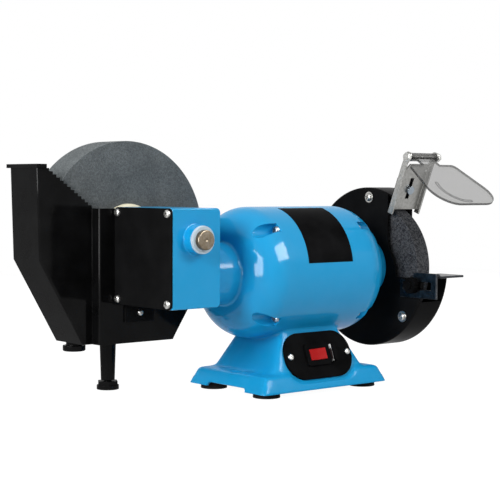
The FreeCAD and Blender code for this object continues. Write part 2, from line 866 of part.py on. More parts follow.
def switch():
    def on_face(body):
        on_switch_face(body, 0, 0, 0)

    shift = -d.switch_shift
    thick = d.switch_plate_thickness
    gap = d.sliding_gap
    plate = Piece("switch_plate", on_face)
    plate.pad("XY", 0, thick, rectangle(d.switch_plate_half, d.switch_plate_rise, d.switch_plate_corner))
    plate.pocket("XY", 0, thick, rectangle(
        d.switch_body_half + gap, d.switch_body_rise + gap, None, (shift, 0)))
    plate.pocket("XY", 0, thick, circles=[(side * d.switch_screw_x, 0, d.switch_screw_radius + gap)
                                          for side in (-1, 1)])
    plate.done()
    screws = []
    for side in (-1, 1):
        head = rod((0, 0, 0), "z", d.switch_head_height, d.switch_head_radius)
        shank = rod((0, 0, 0), "z", d.switch_screw_length + thick, d.switch_screw_radius)
        on_switch_face(head, side * d.switch_screw_x, 0, thick)
        on_switch_face(shank, side * d.switch_screw_x, 0, -d.switch_screw_length)
        screws.append(join("screw", [head, shank]))
    keep(group("switch_plate_screws", screws))
    body = Piece("switch_body", on_face)
    body.pad("XY", -d.switch_body_depth, thick, rectangle(
        d.switch_body_half, d.switch_body_rise, None, (shift, 0)))
    rim_top = thick + d.bezel_height
    margin = d.bezel_margin
    body.pad("XY", thick, rim_top, rectangle(
        d.switch_body_half + margin, d.switch_body_rise + margin, margin, (shift, 0)))
    fence = d.switch_body_half + margin + shift
    body.pad("XY", thick, rim_top + d.fence_height, rectangle(
        d.fence_width / 4, d.switch_body_rise, None, (fence + d.fence_width / 2, 0)))
    body.pad("XY", thick, rim_top, rectangle(d.fence_width / 2, d.switch_body_rise, None,
                                            (fence + d.fence_width / 4, 0)))
    well = thick - d.rocker_depth - gap * 6
    body.pocket("XY", well, rim_top, rectangle(
        d.rocker_half + gap * 4, d.rocker_rise + gap * 2, None, (shift, 0)))
    pin = d.rocker_pin_radius
    pin_end = d.rocker_rise + d.rocker_pin_end
    body.pocket("XZ", -pin_end - gap, pin_end + gap, circles=[(shift, thick, pin + d.running_gap)])
    body.done()
    # The rocker is drawn level and tipped to one side about the pin across its middle.
    rocker = Piece("rocker", lambda body: on_switch_face(body, shift, 0, thick))
    reach = d.rocker_half
    level = [
        (-reach, -d.rocker_end_depth),
        (Size.of(0), -d.rocker_depth / 2),
        (reach, -d.rocker_end_depth),
        (reach, d.rocker_proud),
        (Size.of(0), d.rocker_proud - d.rocker_dip),
        (-reach, d.rocker_proud),
    ]
    lift = d.rocker_throw
    tipped = [(u * lift.cos() - v * lift.sin(), u * lift.sin() + v * lift.cos()) for u, v in level]
    rocker.pad("XZ", -d.rocker_rise, d.rocker_rise, tipped)
    rocker.pad("XZ", -pin_end, pin_end, circles=[(0, 0, pin)])
    rocker.done()


# Motor
def motor_shell():
    shell = Piece("motor_shell")
    inner = d.motor_radius - d.shell_wall
    shell.turn("motor", [(-shell_end, inner), (shell_end, inner), (shell_end, d.motor_radius),
                         (-shell_end, d.motor_radius)])
    lugs = [spot + (d.tie_lug_radius,) for spot in tie_spots()]
    holes = [spot + (d.tie_screw_radius + d.running_gap,) for spot in tie_spots()]
    shell.pad("YZ", -shell_end, d.tie_lug_length - shell_end, circles=lugs)
    shell.pad("YZ", shell_end - d.tie_lug_length, shell_end, circles=lugs)
    shell.pocket("YZ", -shell_end, shell_end, circles=holes)
    shell.done()


def bell_form(name, side, outline, holes):
    """An end bell: turned form with a hollow, tie bosses in the hollow, screw pockets and end holes."""
    form = Piece(f"{name}_form").turn("motor", outline)
    inside = d.motor_radius - d.bell_wall
    hollow = Piece(f"{name}_hollow").turn("motor", [
        (side * shell_end, 0),
        (side * shell_end, inside),
        (side * bearing_in, inside, dome_radius - d.bell_wall),
        (side * bearing_in, 0),
    ])
    bosses = []
    pockets = []
    floor = shell_end + d.tie_pocket_floor
    reach = bell_end - floor
    for y, z in tie_spots():
        low = shell_end if side > 0 else -floor
        bosses.append(rod((low, y, z), "x", d.tie_pocket_floor, d.tie_boss_radius))
        boss_tail = floor if side > 0 else -bell_end
        bosses.append(rod((boss_tail, y, z), "x", reach, d.tie_boss_radius))
        pocket_low = floor if side > 0 else -floor - reach * 2
        pockets.append(rod((pocket_low, y, z), "x", reach * 2, d.tie_pocket_radius))
        pockets.append(rod((low, y, z), "x", d.tie_pocket_floor, d.tie_screw_radius + d.running_gap))
    space = cut(f"{name}_space", hollow.body, [join(f"{name}_bosses", bosses)])
    shell = cut(f"{name}_shell", form.body, [space])
    keep(cut(name, shell, [join(f"{name}_pockets", pockets)] + holes))


def end_bells():
    seat = d.bearing_radius + d.running_gap
    neck_bore = d.neck_screw_radius + d.running_gap
    mount_bore = d.guard_mount_radius + d.running_gap
    neck_holes = [rod((gearbox_right, y, z), "x", d.neck_screw_length, neck_bore) for y, z in neck_spots()]
    mount_holes = [rod((guard_x - d.guard_mount_length, y, z), "x", d.guard_mount_length, mount_bore)
                   for y, z in mount_spots()]
    bell_form("left_end_bell", -1, [
        (-shell_end, d.motor_radius),
        (-bell_end, d.motor_radius, dome_radius),
        (-bell_end, d.neck_radius, d.neck_fillet),
        (gearbox_right, d.neck_radius),
        (gearbox_right, d.seal_bore_radius),
        (-bearing_out, d.seal_bore_radius),
        (-bearing_out, seat),
        (-shell_end, seat),
    ], neck_holes)
    groove_end = bell_end + d.boss_groove
    bell_form("right_end_bell", 1, [
        (shell_end, d.motor_radius),
        (bell_end, d.motor_radius, dome_radius),
        (bell_end, d.neck_radius - d.groove_depth),
        (groove_end, d.neck_radius - d.groove_depth),
        (groove_end, d.neck_radius),
        (guard_x, d.neck_radius),
        (guard_x, d.seal_bore_radius),
        (bearing_out, d.seal_bore_radius),
        (bearing_out, seat),
        (shell_end, seat),
    ], mount_holes)
    floor = shell_end + d.tie_pocket_floor
    length = d.tie_pocket_floor + d.tie_lug_length
    screws = []
    for y, z in tie_spots():
        for side in (-1, 1):
            screws.append(screw((side * floor, y, z), "x", -side, d.tie_head_radius, d.tie_head_height,
                                d.tie_screw_radius, length))
    keep(group("end_bell_screws", screws))


def motor_inside():
    half = d.stator_length / 2
    outer = d.motor_radius - d.shell_wall - d.running_gap
    stator = Piece("stator_core")
    bore = d.stator_bore_radius
    stator.turn("motor", [(-half, bore), (half, bore), (half, outer), (-half, outer)])
    stator.done()
    windings = []
    for side in (-1, 1):
        winding = Piece("winding")
        near = side * half
        far = side * (half + d.winding_overhang)
        round_off = d.winding_overhang / 3
        winding.turn("motor", [
            (near, d.winding_inner_radius),
            (far, d.winding_inner_radius, round_off),
            (far, d.winding_outer_radius, round_off),
            (near, d.winding_outer_radius),
        ])
        windings.append(winding.body)
    keep(group("stator_windings", windings))
    bearings = []
    for side in (-1, 1):
        ring = Piece("bearing")
        bore = d.bearing_seat_radius + d.running_gap
        middle = (d.bearing_radius + bore) / 2
        inner = side * bearing_in
        outer = side * bearing_out
        step = side * d.air_gap
        land = d.bush_wall
        ring.turn("motor", [
            (inner, bore), (inner, middle - land), (inner + step, middle - land),
            (inner + step, middle + land), (inner, middle + land),
            (inner, d.bearing_radius), (outer, d.bearing_radius),
            (outer, middle + land), (outer - step, middle + land), (outer - step, middle - land),
            (outer, middle - land), (outer, bore),
        ])
        bearings.append(ring.body)
    keep(group("motor_bearings", bearings))
    shaft = Piece("motor_shaft")
    worm_end = wet_x - d.worm_length / 2
    threaded = dry_flange_right + d.dry_nut_height
    shaft.turn("motor", [
        (worm_end, 0),
        (worm_end, d.worm_seat_radius),
        (-bearing_out, d.worm_seat_radius),
        (-bearing_out, d.bearing_seat_radius),
        (-bearing_in, d.bearing_seat_radius),
        (-bearing_in, d.shaft_radius),
        (bearing_in, d.shaft_radius),
        (bearing_in, d.bearing_seat_radius),
        (dry_flange_left, d.bearing_seat_radius),
        (dry_flange_left, d.wheel_bore_radius),
        (threaded, d.wheel_bore_radius),
        (threaded, 0),
    ])
    shaft.done()
    core = Piece("rotor_core")
    core_radius = d.stator_bore_radius - d.air_gap
    ring_end = half + d.rotor_ring_length
    ring_radius = core_radius - d.air_gap
    bore = d.shaft_radius + d.running_gap
    core.turn("motor", [
        (-half, bore), (half, bore), (half, d.rotor_ring_inner), (ring_end, d.rotor_ring_inner),
        (ring_end, ring_radius), (half, ring_radius), (half, core_radius), (-half, core_radius),
        (-half, ring_radius), (-ring_end, ring_radius), (-ring_end, d.rotor_ring_inner),
        (-half, d.rotor_ring_inner),
    ])
    core.done()


# Gearbox
def cover_spots():
    inset = d.cover_screw_inset
    return [(y, z) for y in (-d.gearbox_front + inset, d.gearbox_back - inset)
            for z in (gearbox_bottom + inset, gearbox_top - inset)]


def gearbox():
    wall = d.gearbox_wall
    corner = d.gearbox_corner
    back = d.gearbox_back
    housing = Piece("gearbox_housing")
    housing.pad("XZ", -d.gearbox_front, back, [
        (gearbox_left, gearbox_bottom),
        (gearbox_right, gearbox_bottom, corner),
        (gearbox_right, gearbox_top, corner),
        (gearbox_left, gearbox_top),
    ])
    housing.pocket("YZ", gearbox_left, gearbox_right - wall, [
        (wall - d.gearbox_front, gearbox_bottom + wall, corner),
        (back - wall, gearbox_bottom + wall, corner),
        (back - wall, gearbox_top - wall, corner),
        (wall - d.gearbox_front, gearbox_top - wall, corner),
    ])
    posts = [spot + (d.cover_post_radius,) for spot in cover_spots()]
    housing.pad("YZ", gearbox_left, gearbox_right - wall, circles=posts)
    housing.pad("XZ", -boss_front, -d.gearbox_front, circles=[(wet_x, wet_z, d.front_boss_radius)])
    housing.pad("XZ", back, boss_back, circles=[(wet_x, wet_z, d.rear_boss_radius)])
    bush = wet_bore + d.bush_wall
    housing.pocket("XZ", -boss_front, boss_back, circles=[(wet_x, wet_z, bush + d.running_gap)])
    housing.pocket("YZ", gearbox_right - wall, gearbox_right, circles=[(0, axis, d.seal_bore_radius)])
    holes = [spot + (d.cover_screw_radius + d.running_gap,) for spot in cover_spots()]
    housing.pocket("YZ", gearbox_left, gearbox_left + d.cover_screw_length, circles=holes)
    housing.pocket("YZ", gearbox_right - wall, gearbox_right, circles=[
        spot + (d.neck_screw_radius + d.running_gap,) for spot in neck_spots()])
    housing.done()
    cover = Piece("gearbox_cover")
    cover.pad("YZ", cover_left, gearbox_left, [
        (-d.gearbox_front, gearbox_bottom, corner),
        (back, gearbox_bottom, d.cover_corner),
        (back, gearbox_top, corner),
        (-d.gearbox_front, gearbox_top, corner),
    ])
    cover.pocket("YZ", cover_left, gearbox_left, circles=holes)
    cover.done()
    keep(group("gearbox_cover_screws", [
        screw((cover_left, y, z), "x", 1, d.cover_head_radius, d.cover_head_height, d.cover_screw_radius,
              d.cover_screw_length) for y, z in cover_spots()]))
    inside = gearbox_right - wall
    keep(group("neck_screws", [
        screw((inside, y, z), "x", 1, d.neck_head_radius, d.neck_head_height, d.neck_screw_radius,
              d.neck_screw_length) for y, z in neck_spots()]))
    front_bush = Piece("front_bush")
    front_bush.turn("wet", [
        (wall - d.gearbox_front, wet_bore), (wall - d.gearbox_front, bush), (-boss_front, bush),
        (-boss_front, d.front_boss_radius), (-boss_front - d.bush_flange, d.front_boss_radius),
        (-boss_front - d.bush_flange, wet_bore),
    ])
    front_bush.done()
    rear_bush = Piece("rear_bush")
    rear_bush.turn("wet", [
        (back - wall, wet_bore), (back - wall, bush), (boss_back, bush), (boss_back, d.front_boss_radius),
        (boss_back + d.bush_flange, d.front_boss_radius), (boss_back + d.bush_flange, wet_bore),
    ])
    rear_bush.done()


def neck_spots():
    spots = [along(d.neck_screw_circle, angle) for angle in (45, 135, 225, 315)]
    return [(y, axis + z) for y, z in spots]


TOOTH_SLANT = math.tan(math.radians(20))
ROOT_DEPTH = 1.25


def worm():
    """The worm: a core with one thread wound round it, crest upwards at the wet axis."""
    module = d.gear_module.value
    pitch = math.pi * module
    pitch_radius = d.worm_pitch_radius.value
    turns = d.worm_turns.value
    root = pitch_radius - ROOT_DEPTH * module
    tip = pitch_radius + module
    sunk = d.sliding_gap.value
    half = d.worm_thread_width.value / 2
    tip_half = half - module * TOOTH_SLANT
    root_half = half + (ROOT_DEPTH * module + sunk) * TOOTH_SLANT
    length = d.worm_length.value
    core = Part.makeCylinder(root, length, FreeCAD.Vector(0, 0, -length / 2))
    bore = Part.makeCylinder(d.worm_seat_radius.value + d.running_gap.value, length,
                             FreeCAD.Vector(0, 0, -length / 2))
    path = Part.makeHelix(pitch, pitch * turns, root)
    path.translate(FreeCAD.Vector(0, 0, -pitch * turns / 2))
    level = -pitch * turns / 2
    corners = [(root - sunk, -root_half), (tip, -tip_half), (tip, tip_half), (root - sunk, root_half)]
    profile = Part.makePolygon([FreeCAD.Vector(r, 0, level + z) for r, z in corners + corners[:1]])
    thread = Part.Wire(path.Edges).makePipeShell([profile], True, True)
    made = shaped("worm", core.fuse(thread).cut(bore))
    made.Placement = FreeCAD.Placement(FreeCAD.Vector(wet_x.value, 0, axis.value), TURNS["x"])
    keep(made)


def worm_wheel():
    """The worm wheel, its teeth slanted to the lead of the worm, a tooth space downwards."""
    module = d.gear_module.value
    teeth = int(d.gear_teeth.value)
    pitch_radius = gear_radius.value
    half = d.wheel_tooth_width.value / 2
    rise = module * 0.95
    fall = ROOT_DEPTH * module
    lead_slope = module / (2 * d.worm_pitch_radius.value)
    width = d.gear_face_width.value
    flanks = [
        (pitch_radius - fall, -half - fall * TOOTH_SLANT),
        (pitch_radius + rise, rise * TOOTH_SLANT - half),
        (pitch_radius + rise, half - rise * TOOTH_SLANT),
        (pitch_radius - fall, half + fall * TOOTH_SLANT),
    ]
    rings = []
    for y in (-width / 2, width / 2):
        spots = []
        for tooth in range(teeth):
            middle = -math.pi / 2 + (tooth + 0.5) * 2 * math.pi / teeth - y * lead_slope / pitch_radius
            for radius, side in flanks:
                angle = middle + side / radius
                spots.append(FreeCAD.Vector(radius * math.cos(angle), y, radius * math.sin(angle)))
        rings.append(Part.makePolygon(spots + spots[:1]))
    crown = Part.makeLoft(rings, True, True)
    hub_length = d.gear_hub_length.value
    start = FreeCAD.Vector(0, -hub_length / 2, 0)
    way = FreeCAD.Vector(0, 1, 0)
    hub = Part.makeCylinder(d.gear_hub_radius.value, hub_length, start, way)
    bore = Part.makeCylinder(wet_bore.value, hub_length, start, way)
    made = shaped("worm_wheel", crown.fuse(hub).cut(bore))
    made.Placement = FreeCAD.Placement(FreeCAD.Vector(wet_x.value, 0, wet_z.value), FreeCAD.Rotation())
    keep(made)


# Wet wheel
def wet_spindle():
    flange_back = wet_wheel_back + d.wet_flange_rim
    shaft_front = -boss_front - d.bush_flange - d.wet_shaft_proud
    end = flange_back + d.wet_nut_height + d.wet_shaft_chamfer
    shoulder = flange_back - d.wet_shaft_chamfer
    shaft = Piece("wet_shaft")
    shaft.turn("wet", [
        (shaft_front, 0),
        (shaft_front, d.wet_shaft_radius - d.wet_shaft_chamfer),
        (shaft_front + d.wet_shaft_chamfer, d.wet_shaft_radius),
        (shoulder, d.wet_shaft_radius),
        (shoulder, d.wet_thread_radius),
        (end, d.wet_thread_radius),
        (end, 0),
    ])
    shaft.done()
    wheel = Piece("wet_wheel")
    chamfer = d.wet_wheel_chamfer
    wheel.turn("wet", [
        (wet_wheel_front, wet_bore),
        (wet_wheel_front, d.wet_wheel_radius - chamfer),
        (wet_wheel_front + chamfer, d.wet_wheel_radius),
        (wet_wheel_back - chamfer, d.wet_wheel_radius),
        (wet_wheel_back, d.wet_wheel_radius - chamfer),
        (wet_wheel_back, wet_bore),
    ])
    wheel.done()
    inner = Piece("wet_inner_flange")
    hub_front = boss_back + d.bush_flange + d.wet_flange_gap
    rim_front = wet_wheel_front - d.wet_flange_rim
    inner.turn("wet", [
        (hub_front, wet_bore),
        (hub_front, d.wet_flange_hub_radius),
        (rim_front, d.wet_flange_hub_radius),
        (rim_front, d.wet_flange_radius, d.wet_flange_rim / 2),
        (wet_wheel_front, d.wet_flange_radius),
        (wet_wheel_front, wet_bore),
    ])
    inner.done()
    outer = Piece("wet_outer_flange")
    outer.turn("wet", [
        (wet_wheel_back, wet_bore),
        (wet_wheel_back, d.wet_flange_radius),
        (flange_back, d.wet_flange_radius, d.wet_flange_rim / 2),
        (flange_back, wet_bore),
    ])
    outer.done()
    nut = Piece("wet_wheel_nut")
    nut.pad("XZ", flange_back, flange_back + d.wet_nut_height, hexagon(d.wet_nut_flats, (wet_x, wet_z)))
    nut.pocket("XZ", flange_back, flange_back + d.wet_nut_height,
               circles=[(wet_x, wet_z, d.wet_thread_radius + d.running_gap)])
    nut.done()


# Trough
def stepped_slope(start, end, steps):
    """Corners of a slope cut into stairs, from a start to an end corner."""
    corners = []
    count = int(steps.value)
    run = end[0] - start[0]
    fall = end[1] - start[1]
    for k in range(count):
        edge = start[0] + run * ((k + 1) / count)
        corners.append((edge, start[1] + fall * (k / count)))
        corners.append((edge, start[1] + fall * ((k + 1) / count)))
    return corners


def trough():
    wall = d.trough_wall
    left = wet_x - d.trough_left
    right = wet_x + d.trough_right
    bottom_left = wet_x - d.trough_bottom_left
    bottom_right = wet_x + d.trough_bottom_right
    knee = wet_z - d.trough_knee
    knee_left = left + d.trough_taper
    low_end = wet_z - d.trough_low_end
    shoulder = wet_z - d.trough_right_shoulder
    lip_end = left + d.trough_lip_length
    slope_top = (lip_end, trough_high - d.trough_lip_height)
    slope_end = (wet_x - d.trough_slope_end, trough_top)
    form = Piece("water_trough")
    form.pad("XZ", trough_front, trough_back, [
        (bottom_left, trough_bottom),
        (bottom_right, trough_bottom),
        (right, low_end),
        (right, shoulder),
        (right - d.trough_right_slant, trough_top),
    ] + stepped_slope(slope_top, slope_end, d.trough_steps)[::-1] + [
        slope_top,
        (lip_end, trough_high),
        (left, trough_high),
        (knee_left, knee),
    ])
    bump_left = wet_x - d.bump_half_width
    bump_right = wet_x + d.bump_right
    bump_top = trough_bottom + d.bump_slant_height
    form.pad("XZ", d.gearbox_back, trough_front, [
        (bump_left, trough_bottom),
        (bump_right - d.bump_slant_run, trough_bottom),
        (bump_right, bump_top),
        (bump_right, trough_top),
        (bump_left, trough_top),
    ])
    lip = d.trough_lip_proud
    form.pad("XY", trough_high - d.trough_lip_height, trough_high, [
        (left - lip, trough_front - lip),
        (lip_end, trough_front - lip),
        (lip_end, trough_back + lip),
        (left - lip, trough_back + lip),
    ])
    # Hollow of the trough, with the slanted ends set in by the wall
    left_run = bottom_left - knee_left
    left_rise = knee - trough_bottom
    left_inset = wall * (left_run * left_run + left_rise * left_rise).root() / left_rise
    right_run = right - bottom_right
    right_rise = low_end - trough_bottom
    right_inset = wall * (right_run * right_run + right_rise * right_rise).root() / right_rise
    floor = trough_bottom + wall
    above = trough_high + d.trough_lip_height
    form.pocket("XZ", trough_front + wall, trough_back - wall, [
        (bottom_left - left_run * wall / left_rise + left_inset, floor),
        (bottom_right + right_run * wall / right_rise - right_inset, floor),
        (bottom_right + right_run * (above - trough_bottom) / right_rise - right_inset, above),
        (left + wall, above),
        (knee_left + wall, knee - (wall - left_inset) * left_rise / left_run),
    ])
    form.pocket("XZ", d.gearbox_back + wall, trough_front + wall, [
        (bump_left + wall, floor),
        (bump_right - d.bump_slant_run - wall, floor),
        (bump_right - wall, bump_top + wall),
        (bump_right - wall, above),
        (bump_left + wall, above),
    ])
    form.pocket("XZ", d.gearbox_back, d.gearbox_back + wall,
                circles=[(wet_x, wet_z, d.rear_boss_radius + d.shaft_hole_gap)])
    form.pocket("XZ", trough_back - wall, trough_back, [
        (wet_x - d.notch_half_width, wet_z - d.notch_below, d.notch_corner),
        (wet_x + d.notch_half_width, wet_z - d.notch_below, d.notch_corner),
        (wet_x + d.notch_half_width, above),
        (wet_x - d.notch_half_width, above),
    ])
    drain = (wet_x - d.drain_left, trough_back - d.drain_back)
    form.pocket("XY", trough_bottom, floor, circles=[drain + (d.drain_radius + d.sliding_gap,)])
    screw_z = gearbox_bottom - d.bracket_screw_drop
    form.pocket("XZ", d.gearbox_back, d.gearbox_back + wall,
                circles=[(wet_x, screw_z, d.bracket_screw_radius + d.running_gap)])
    form.done()
    plug = Piece("drain_plug")
    seat = trough_bottom - d.sliding_gap
    cap_top = seat - d.drain_neck_height
    cap_low = cap_top - d.drain_cap_height
    plug.turn("upright", [
        (0, cap_low),
        (d.drain_cap_radius, cap_low, d.drain_cap_height / 4),
        (d.drain_cap_radius, cap_top),
        (d.drain_neck_radius, cap_top),
        (d.drain_neck_radius, seat),
        (d.drain_radius, seat),
        (d.drain_radius, seat + d.drain_plug_depth),
        (0, seat + d.drain_plug_depth),
    ], at=drain)
    plug.done()


def trough_support():
    back = d.gearbox_back
    thick = d.bracket_thickness
    half = d.bracket_half_width
    bracket = Piece("trough_bracket")
    bracket.pad("YZ", wet_x - half, wet_x + half, [
        (back - d.bracket_foot, gearbox_bottom),
        (back - d.bracket_foot, gearbox_bottom - thick),
        (back - thick, gearbox_bottom - thick),
        (back - thick, gearbox_bottom - d.bracket_drop),
        (back, gearbox_bottom - d.bracket_drop),
        (back, gearbox_bottom),
    ])
    screw_z = gearbox_bottom - d.bracket_screw_drop
    bracket.pocket("XZ", back - thick, back,
                   circles=[(wet_x, screw_z, d.bracket_screw_radius + d.running_gap)])
    bracket.done()
    length = thick + d.trough_wall + d.bracket_head_height
    keep(group("trough_screws", [screw((wet_x, back - thick, screw_z), "y", 1, d.bracket_head_radius,
                                       d.bracket_head_height, d.bracket_screw_radius, length)]))
    leg = Piece("trough_leg")
    bore_top = d.leg_end_height + d.leg_bore_depth
    leg.turn("upright", [
        (d.leg_bore_radius, d.leg_end_height),
        (d.leg_end_radius, d.leg_end_height),
        (d.leg_top_radius, trough_bottom),
        (0, trough_bottom),
        (0, bore_top),
        (d.leg_bore_radius, bore_top),
    ], at=(wet_x, leg_y))
    leg.done()
    foot = Piece("leg_foot")
    foot.pad("XY", 0, d.leg_foot_height / 2, circles=[(wet_x, leg_y, d.leg_foot_radius)])
    foot.pad("XY", d.leg_foot_height / 2, d.leg_foot_height, hexagon(d.leg_foot_flats, (wet_x, leg_y)))
    foot.pad("XY", d.leg_foot_height, d.leg_foot_height + d.leg_stud_length,
             circles=[(wet_x, leg_y, d.leg_stud_radius)])
    foot.done()


# Dry wheel
def dry_spindle():
    bore = d.wheel_bore_radius + d.running_gap
    wheel = Piece("dry_wheel")
    chamfer = d.dry_wheel_chamfer
    wheel.turn("motor", [
        (dry_left, bore),
        (dry_right, bore),
        (dry_right, d.dry_wheel_radius - chamfer),
        (dry_right - chamfer, d.dry_wheel_radius),
        (dry_left + chamfer, d.dry_wheel_radius),
        (dry_left, d.dry_wheel_radius - chamfer),
    ])
    wheel.done()
    rim = d.dry_flange_radius
    relief = d.dry_flange_relief
    seat = rim - d.dry_flange_thickness * 2
    for name, face, back, side in (("dry_inner_flange", dry_left, dry_flange_left, -1),
                                   ("dry_outer_flange", dry_right, dry_flange_right, 1)):
        flange = Piece(name)
        flange.turn("motor", [
            (back, bore), (back, rim - relief), (back - side * relief, rim), (face, rim), (face, seat),
            (face + side * relief, seat), (face + side * relief, bore),
        ])
        flange.done()
    nut = Piece("dry_wheel_nut")
    end = dry_flange_right + d.dry_nut_height
    nut.pad("YZ", dry_flange_right, end, hexagon(d.dry_nut_flats, (0, axis)))
    nut.pocket("YZ", dry_flange_right, end, circles=[(0, axis, bore)])
    nut.done()


def guard_spots():
    spots = [along(d.guard_screw_circle, angle) for angle in (94, 222, 340)]
    return [(y, axis + z) for y, z in spots]


def mount_spots():
    spots = [along(d.guard_mount_circle, angle) for angle in (30, 150, 270)]
    return [(y, axis + z) for y, z in spots]


def side_opening():
    """Outline of the part of the guard's side plates that is cut away in front of the wheel."""
    beyond = d.guard_radius * 1.4
    shelf = axis - d.guard_shelf
    return [
        (-d.guard_edge_top, axis + beyond),
        (-d.guard_edge_top, axis + d.guard_bend, d.dry_flange_radius),
        (-d.guard_edge_low, shelf + d.guard_shelf, d.guard_shelf / 2),
        (-d.guard_edge_low, shelf),
        (-beyond, shelf),
        (-beyond, axis + beyond),
    ]


def rim_opening():
    """Outline of the gap in the guard's rim, from the arrester's tab down to the lower lip."""
    run, rise = along(d.guard_radius, d.arrester_tilt)
    beyond = d.guard_radius * 1.6
    foot = (-d.arrester_front, axis + d.arrester_above)
    return [
        foot,
        (-beyond, foot[1] + (beyond - d.arrester_front) * run / rise),
        (-beyond, axis - d.guard_lower_lip),
        (-d.arrester_front, axis - d.guard_lower_lip),
    ]


def guard():
    outer = d.guard_radius
    inner = outer - d.guard_plate
    hole = d.seal_bore_radius + d.guard_plate
    pan = Piece("guard_pan")
    pan.turn("motor", [
        (guard_x, hole), (guard_x, outer, d.guard_corner), (guard_rim_end, outer), (guard_rim_end, inner),
        (guard_inside, inner), (guard_inside, hole),
    ])
    pan.pocket("YZ", guard_x, guard_inside, side_opening())
    pan.pocket("YZ", guard_inside, guard_rim_end, rim_opening())
    pan.pocket("YZ", guard_x, guard_inside, circles=[
        spot + (d.guard_screw_radius + d.running_gap,) for spot in guard_spots()] + [
        spot + (d.guard_mount_radius + d.running_gap,) for spot in mount_spots()])
    bolt = (-d.rest_bolt_front, axis - d.rest_bolt_below, d.rest_bolt_radius + d.running_gap)
    pan.pocket("YZ", guard_x, guard_inside, circles=[bolt])
    tab = DOC.addObject("Part::Box", "arrester_tab")
    tab.Length = bind(tab, "Length", guard_rim_end - guard_x)
    tab.Width = bind(tab, "Width", d.guard_plate)
    tab.Height = bind(tab, "Height", d.tab_end - d.tab_start)
    on_arrester(tab, guard_x, 0, d.tab_start)
    bore = on_arrester(rod((0, 0, 0), "y", d.guard_plate, d.arrester_bolt_radius + d.running_gap),
                       arrester_x, 0, d.arrester_bolt_height, "y")
    keep(cut("guard_inner", join("guard_inner_form", [pan.body, tab]), [bore]))
    lid = Piece("guard_outer")
    lid.turn("motor", [
        (guard_rim_end, inner), (guard_rim_end, outer), (guard_end, outer, d.guard_corner), (guard_end, 0),
        (lid_inside, 0), (lid_inside, inner),
    ])
    lid.pocket("YZ", guard_rim_end, guard_end, side_opening())
    lid.pocket("YZ", guard_rim_end, lid_inside, rim_opening())
    lid.done()
    screws = []
    for y, z in guard_spots():
        length = lid_inside - guard_x
        made = screw((guard_x, y, z), "x", 1, d.guard_head_radius, d.guard_head_height,
                     d.guard_screw_radius, length)
        nut = rod((lid_inside - d.guard_nut_height, y, z), "x", d.guard_nut_height, d.guard_head_radius)
        screws.append(join("guard_screw", [made, nut]))
    keep(group("guard_screws", screws))
    keep(group("guard_mount_screws", [
        screw((guard_inside, y, z), "x", -1, d.guard_mount_radius * 1.5, d.guard_mount_radius / 2,
              d.guard_mount_radius, d.guard_mount_length) for y, z in mount_spots()]))


# Tool rest
def tool_rest():
    thick = d.rest_thickness
    outside = guard_x - d.sliding_gap
    leg_left = outside - thick
    front = -d.dry_wheel_radius - d.rest_gap - d.rest_depth
    top = axis - d.rest_below_axis
    rest = Piece("tool_rest")
    back = -d.dry_wheel_radius - d.rest_gap
    rest_right = guard_x + d.rest_right
    step_x = guard_inside + d.rest_step
    rest.pad("XZ", front, back, [
        (leg_left, top - d.rest_leg_height),
        (outside, top - d.rest_leg_height),
        (outside, top - thick),
        (guard_inside, top - thick),
        (step_x, top - thick - d.rest_step),
        (rest_right, top - thick - d.rest_step),
        (rest_right, top - d.rest_step),
        (step_x, top - d.rest_step),
        (guard_inside, top),
        (leg_left, top),
    ])
    rest.pad("YZ", leg_left, outside, [
        (back, top - d.rest_leg_height), (-d.rest_leg_start, top - d.rest_leg_height),
        (-d.rest_leg_start, top - d.rest_leg_drop), (back, top - d.rest_leg_drop),
    ])
    slot = d.rest_bolt_radius + d.sliding_gap
    middle = axis - d.rest_bolt_below
    rest.pocket("YZ", leg_left, outside, [
        (-d.rest_slot_to, middle - slot), (-d.rest_slot_from, middle - slot),
        (-d.rest_slot_from, middle + slot), (-d.rest_slot_to, middle + slot),
    ])
    rest.done()
    spot = (guard_inside, -d.rest_bolt_front, middle)
    keep(group("tool_rest_bolt", [screw(spot, "x", -1, d.rest_bolt_head_radius, d.rest_bolt_head_height,
                                        d.rest_bolt_radius, d.rest_bolt_length)]))
    knob = Piece("tool_rest_knob")
    knob_right = leg_left - d.sliding_gap
    knob.pad("YZ", knob_right - d.knob_height, knob_right,
             circles=[(-d.rest_bolt_front, middle, d.knob_radius)])
    knob.pocket("YZ", knob_right - d.knob_height, knob_right,
                circles=[(-d.rest_bolt_front, middle, d.rest_bolt_radius + d.running_gap)])
    flutes = int(d.knob_flutes.value)
    flute_circle = d.knob_radius + d.knob_flute_radius - d.knob_flute_depth
    spots = [along(flute_circle, 360 * k / flutes) for k in range(flutes)]
    knob.pocket("YZ", knob_right - d.knob_height, knob_right, circles=[
        (y - d.rest_bolt_front, z + middle, d.knob_flute_radius) for y, z in spots])
    knob.done()


# Spark arrester and eye shield, laid out along the tilted sheet
def on_arrester(item, across, back, up, way="z"):
    across, back, up = [Size.of(part) for part in (across, back, up)]
    tilt = d.arrester_tilt
    spot = (
        across,
        -d.arrester_front + back * tilt.cos() - up * tilt.sin(),
        axis + d.arrester_above + back * tilt.sin() + up * tilt.cos(),
    )
    turn = FreeCAD.Rotation(FreeCAD.Vector(1, 0, 0), tilt.value)
    put(item, spot, turn * TURNS[way])
    if way == "z":
        bind(item, "Placement.Rotation.Angle", tilt)
    return item


